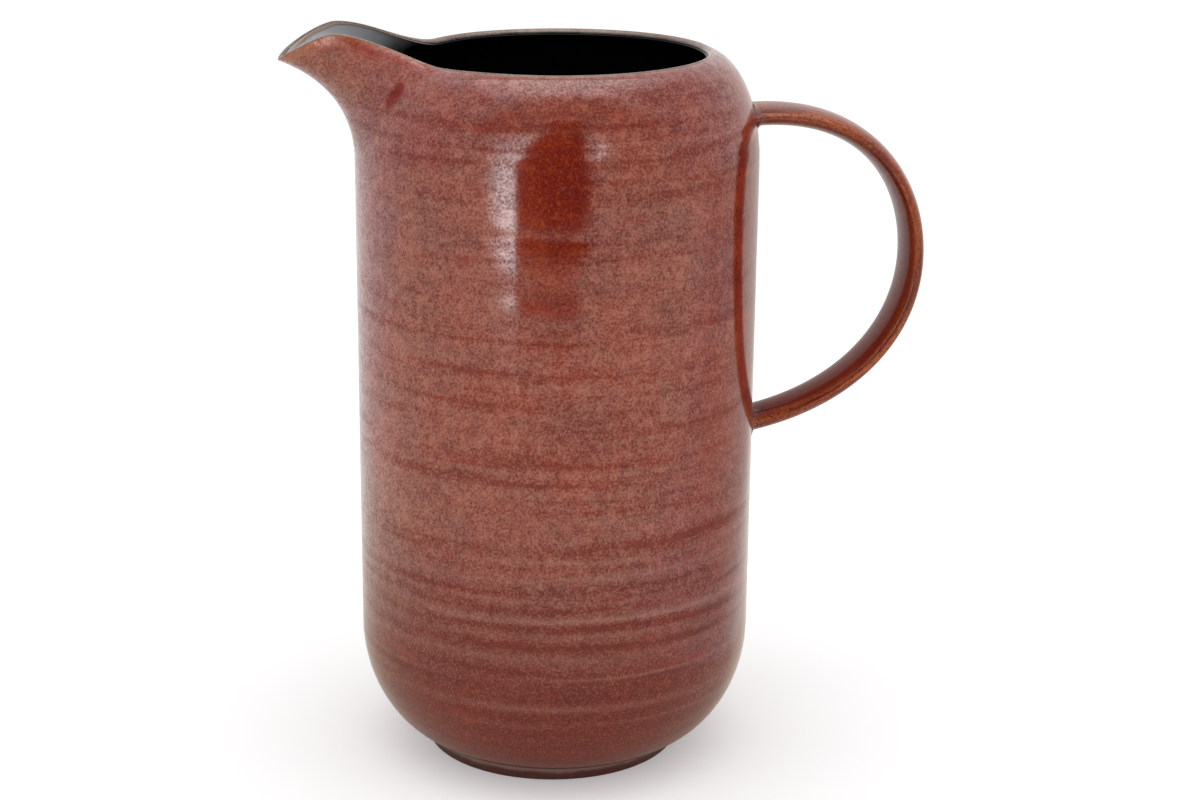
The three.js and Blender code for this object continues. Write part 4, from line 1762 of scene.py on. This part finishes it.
@dataclass(frozen=True)
class Studio:
    """A white surround, a pale floor, a soft light overhead and the cards round the jug.

    Attributes:
        ambient: strength of the surround as a light.
        floor_colour: the floor as a matt surface.
        mirrored_floor: the floor before the jug in its gloss.
        mirrored_back: the floor behind the jug in its gloss.
        back_start: distance behind the jug at which that colour is reached, in metres.
        floor_lift: how much brighter the camera sees the floor.
        floor_reach: half the floor's width.
        floor_steps: points along each of the floor's sides.
        mirrored_sky: the surround in the jug's gloss.
        top_light_power: power of the light overhead, in watts.
        top_light_size: its length and width.
        top_light_place: its place.
        cards: what only the jug's gloss sees.
    """

    ambient: float = 0.92
    floor_colour: Colour = (0.90, 0.90, 0.90)
    mirrored_floor: Colour = (0.92, 0.88, 0.755)
    mirrored_back: Colour = (0.88, 0.82, 0.81)
    back_start: float = 0.35
    floor_lift: float = 0.24
    floor_reach: float = 4.0
    floor_steps: int = 5
    mirrored_sky: Colour = (0.82, 0.76, 0.74)
    top_light_power: float = 1.6
    top_light_size: Range = (1.2, 0.6)
    top_light_place: Point = (-0.05, -0.15, 1.15)
    cards: tuple[StudioCard, ...] = (
        StudioCard(
            "warm_room",
            ((0.004, -1.3, 1.3, 1.0), (0.5, -1.3, 1.3, 1.0), (0.8, -1.3, 1.3, 0.42), (1.6, -1.3, 1.3, 1.0)),
            0.64, (0.35, 0.35), tint=WARM_ROOM, around=(0.93, 0.87, 0.78),
        ),
        StudioCard(
            "dark_room",
            (
                (0.004, -0.318, 0.09, 0.4), (0.030, -0.318, 0.09, 0.4), (0.055, -0.318, 0.18, 0.0),
                (0.27, -0.318, 0.18, 0.0), (0.45, -0.20, 0.15, 0.0), (0.66, -0.075, 0.13, 0.3),
            ),
            0.62, (0.02, 0.18), tint=WARM_ROOM,
        ),
        StudioCard(
            "bright_window",
            (
                (0.004, -0.65, -0.318, 4.2), (0.27, -0.65, -0.318, 3.15),
                (0.36, -0.65, -0.25, 2.4), (0.55, -0.65, -0.2, 1.2),
            ),
            0.62, (0.8, 0.03), tint=(0.93, 1.0, 1.0),
        ),
        StudioCard(
            "small_lamp",
            (
                (0.28, 0.10, 0.29, 1.0), (0.34, 0.10, 0.29, 2.4),
                (0.40, 0.10, 0.29, 2.4), (0.47, 0.10, 0.29, 1.0),
            ),
            0.61, (0.5, 0.5),
        ),
        StudioCard(
            "top_panel",
            ((-0.5, -0.6, 0.7, 1.9), (0.2, -0.6, 0.7, 2.0), (0.5, -0.6, 0.7, 0.8)),
            1.15, (0.35, 0.45), level=True, tint=(1.0, 0.94, 0.88), around=WHITE,
        ),
        StudioCard(
            "dim_floor_beside",
            (
                (-1.4, 0.16, 1.7, 0.70), (-0.30, 0.16, 1.7, 0.60), (-0.15, 0.14, 1.7, 0.55),
                (0.0, 0.12, 1.7, 0.55), (0.2, 0.12, 1.7, 0.9),
            ),
            0.002, (0.08, 0.1), level=True, tint=(1.0, 0.93, 0.87), around=(0.90, 0.84, 0.79),
        ),
    )

    def sky(self) -> None:
        """A white surround: full strength for what is seen, softer as light, dimmer in the gloss."""
        world = bpy.data.worlds.new("surround")
        bpy.context.scene.world = world
        tree = ShaderTree(world)
        glossy = tree.ray("Glossy")
        seen = (tree.ray("Camera") + glossy + tree.ray("Transmission")).at_most(1.0)
        strength = self.ambient + seen * (1.0 - self.ambient)
        inputs = {"Color": tree.mix(WHITE, self.mirrored_sky, glossy), "Strength": strength}
        tree.finish(tree.node("ShaderNodeBackground", {}, inputs), "ShaderNodeOutputWorld")

    def floor(self) -> None:
        """A pale floor that keeps the jug's shadow, white to the camera and warmer in the jug's gloss."""
        side = np.linspace(-self.floor_reach, self.floor_reach, self.floor_steps)
        x, y = np.meshgrid(side, side)
        made = flat_sheet("floor", np.stack([x, y, np.zeros_like(x)], axis=-1))
        material = bpy.data.materials.new("pale_floor")
        tree = ShaderTree(material)
        before = tree.axis(tree.place(), "Y").step(self.back_start, 0.0)
        mirrored = tree.mix(self.mirrored_back, self.mirrored_floor, before)
        colour = tree.mix(self.floor_colour, mirrored, tree.ray("Glossy"))
        matt = tree.node("ShaderNodeBsdfDiffuse", {}, {"Color": colour})
        lift = tree.node("ShaderNodeEmission", {}, {"Strength": tree.ray("Camera") * self.floor_lift})
        tree.finish(tree.node("ShaderNodeAddShader", {}, {0: matt, 1: lift}))
        made.data.materials.append(material)

    def top_light(self) -> None:
        """A wide, weak light overhead, which gives the jug its soft shadow."""
        light = bpy.data.lights.new("top_light", "AREA")
        light.shape = "RECTANGLE"
        light.size, light.size_y = self.top_light_size
        light.energy = self.top_light_power
        lamp = in_scene("top_light", light)
        lamp.location = self.top_light_place
        lamp.visible_camera = False
        lamp.visible_glossy = False

    def build(self, axis_x: float) -> None:
        """Sets up the whole studio.

        Args:
            axis_x: the place of the jug's axis, in metres.
        """
        self.sky()
        self.floor()
        self.top_light()
        for card in self.cards:
            card.build(axis_x)
        bpy.context.scene.view_settings.view_transform = "Standard"


@dataclass(frozen=True)
class PhotoCamera:
    """The camera at the photograph's place, found from the jug's outline.

    Attributes:
        place: its place from the jug's axis, in millimetres.
        heading: its turn to the right of straight ahead, in radians.
        pitch: its tilt downwards.
        roll: its turn about the line of sight.
        lens: focal length, in millimetres.
        frame_width: width of the camera's frame, in millimetres.
    """

    place: Point = (-68.96, -716.13, 325.93)
    heading: float = 0.1153
    pitch: float = 0.2884
    roll: float = 0.0112
    lens: float = 71.17
    frame_width: float = 36.0

    def build(self, offset: Array) -> None:
        """Makes the camera and puts it in the scene.

        Args:
            offset: the place of the jug's axis in the shared frame, in millimetres.
        """
        level = np.array([math.sin(self.heading), math.cos(self.heading), 0.0])
        right = np.array([math.cos(self.heading), -math.sin(self.heading), 0.0])
        up = np.array([0.0, 0.0, 1.0])
        ahead = level * math.cos(self.pitch) - up * math.sin(self.pitch)
        above = level * math.sin(self.pitch) + up * math.cos(self.pitch)
        x_axis = right * math.cos(self.roll) + above * math.sin(self.roll)
        y_axis = above * math.cos(self.roll) - right * math.sin(self.roll)
        spot = (np.array(self.place) + offset) * MM
        lens = bpy.data.cameras.new("photo_camera")
        lens.sensor_fit = "HORIZONTAL"
        lens.sensor_width = self.frame_width
        lens.lens = self.lens
        camera = in_scene("photo_camera", lens)
        rows = np.stack([x_axis, y_axis, -ahead, spot], axis=-1)
        camera.matrix_world = Matrix([*rows.tolist(), [0.0, 0.0, 0.0, 1.0]])
        bpy.context.scene.camera = camera


def jug_axis() -> Array:
    """Place of the jug's axis in the shared frame, the middle of the round body, in millimetres."""
    low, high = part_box("body")
    return np.array([(low.x + high.x) / 2 / MM, 0.0, 0.0])


def main() -> None:
    """Builds the jug's pieces, the studio and the camera."""
    logging.basicConfig(level=logging.INFO, format="%(name)s %(message)s")
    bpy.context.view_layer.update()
    offset = jug_axis()
    form = VesselForm()
    for piece in (Vessel(form), Lining(form), FootRing(form), Handle(form)):
        piece.build(offset)
    Studio().build(float(offset[0]) * MM)
    PhotoCamera().build(offset)
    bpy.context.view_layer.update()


if __name__ == "__main__":
    main()
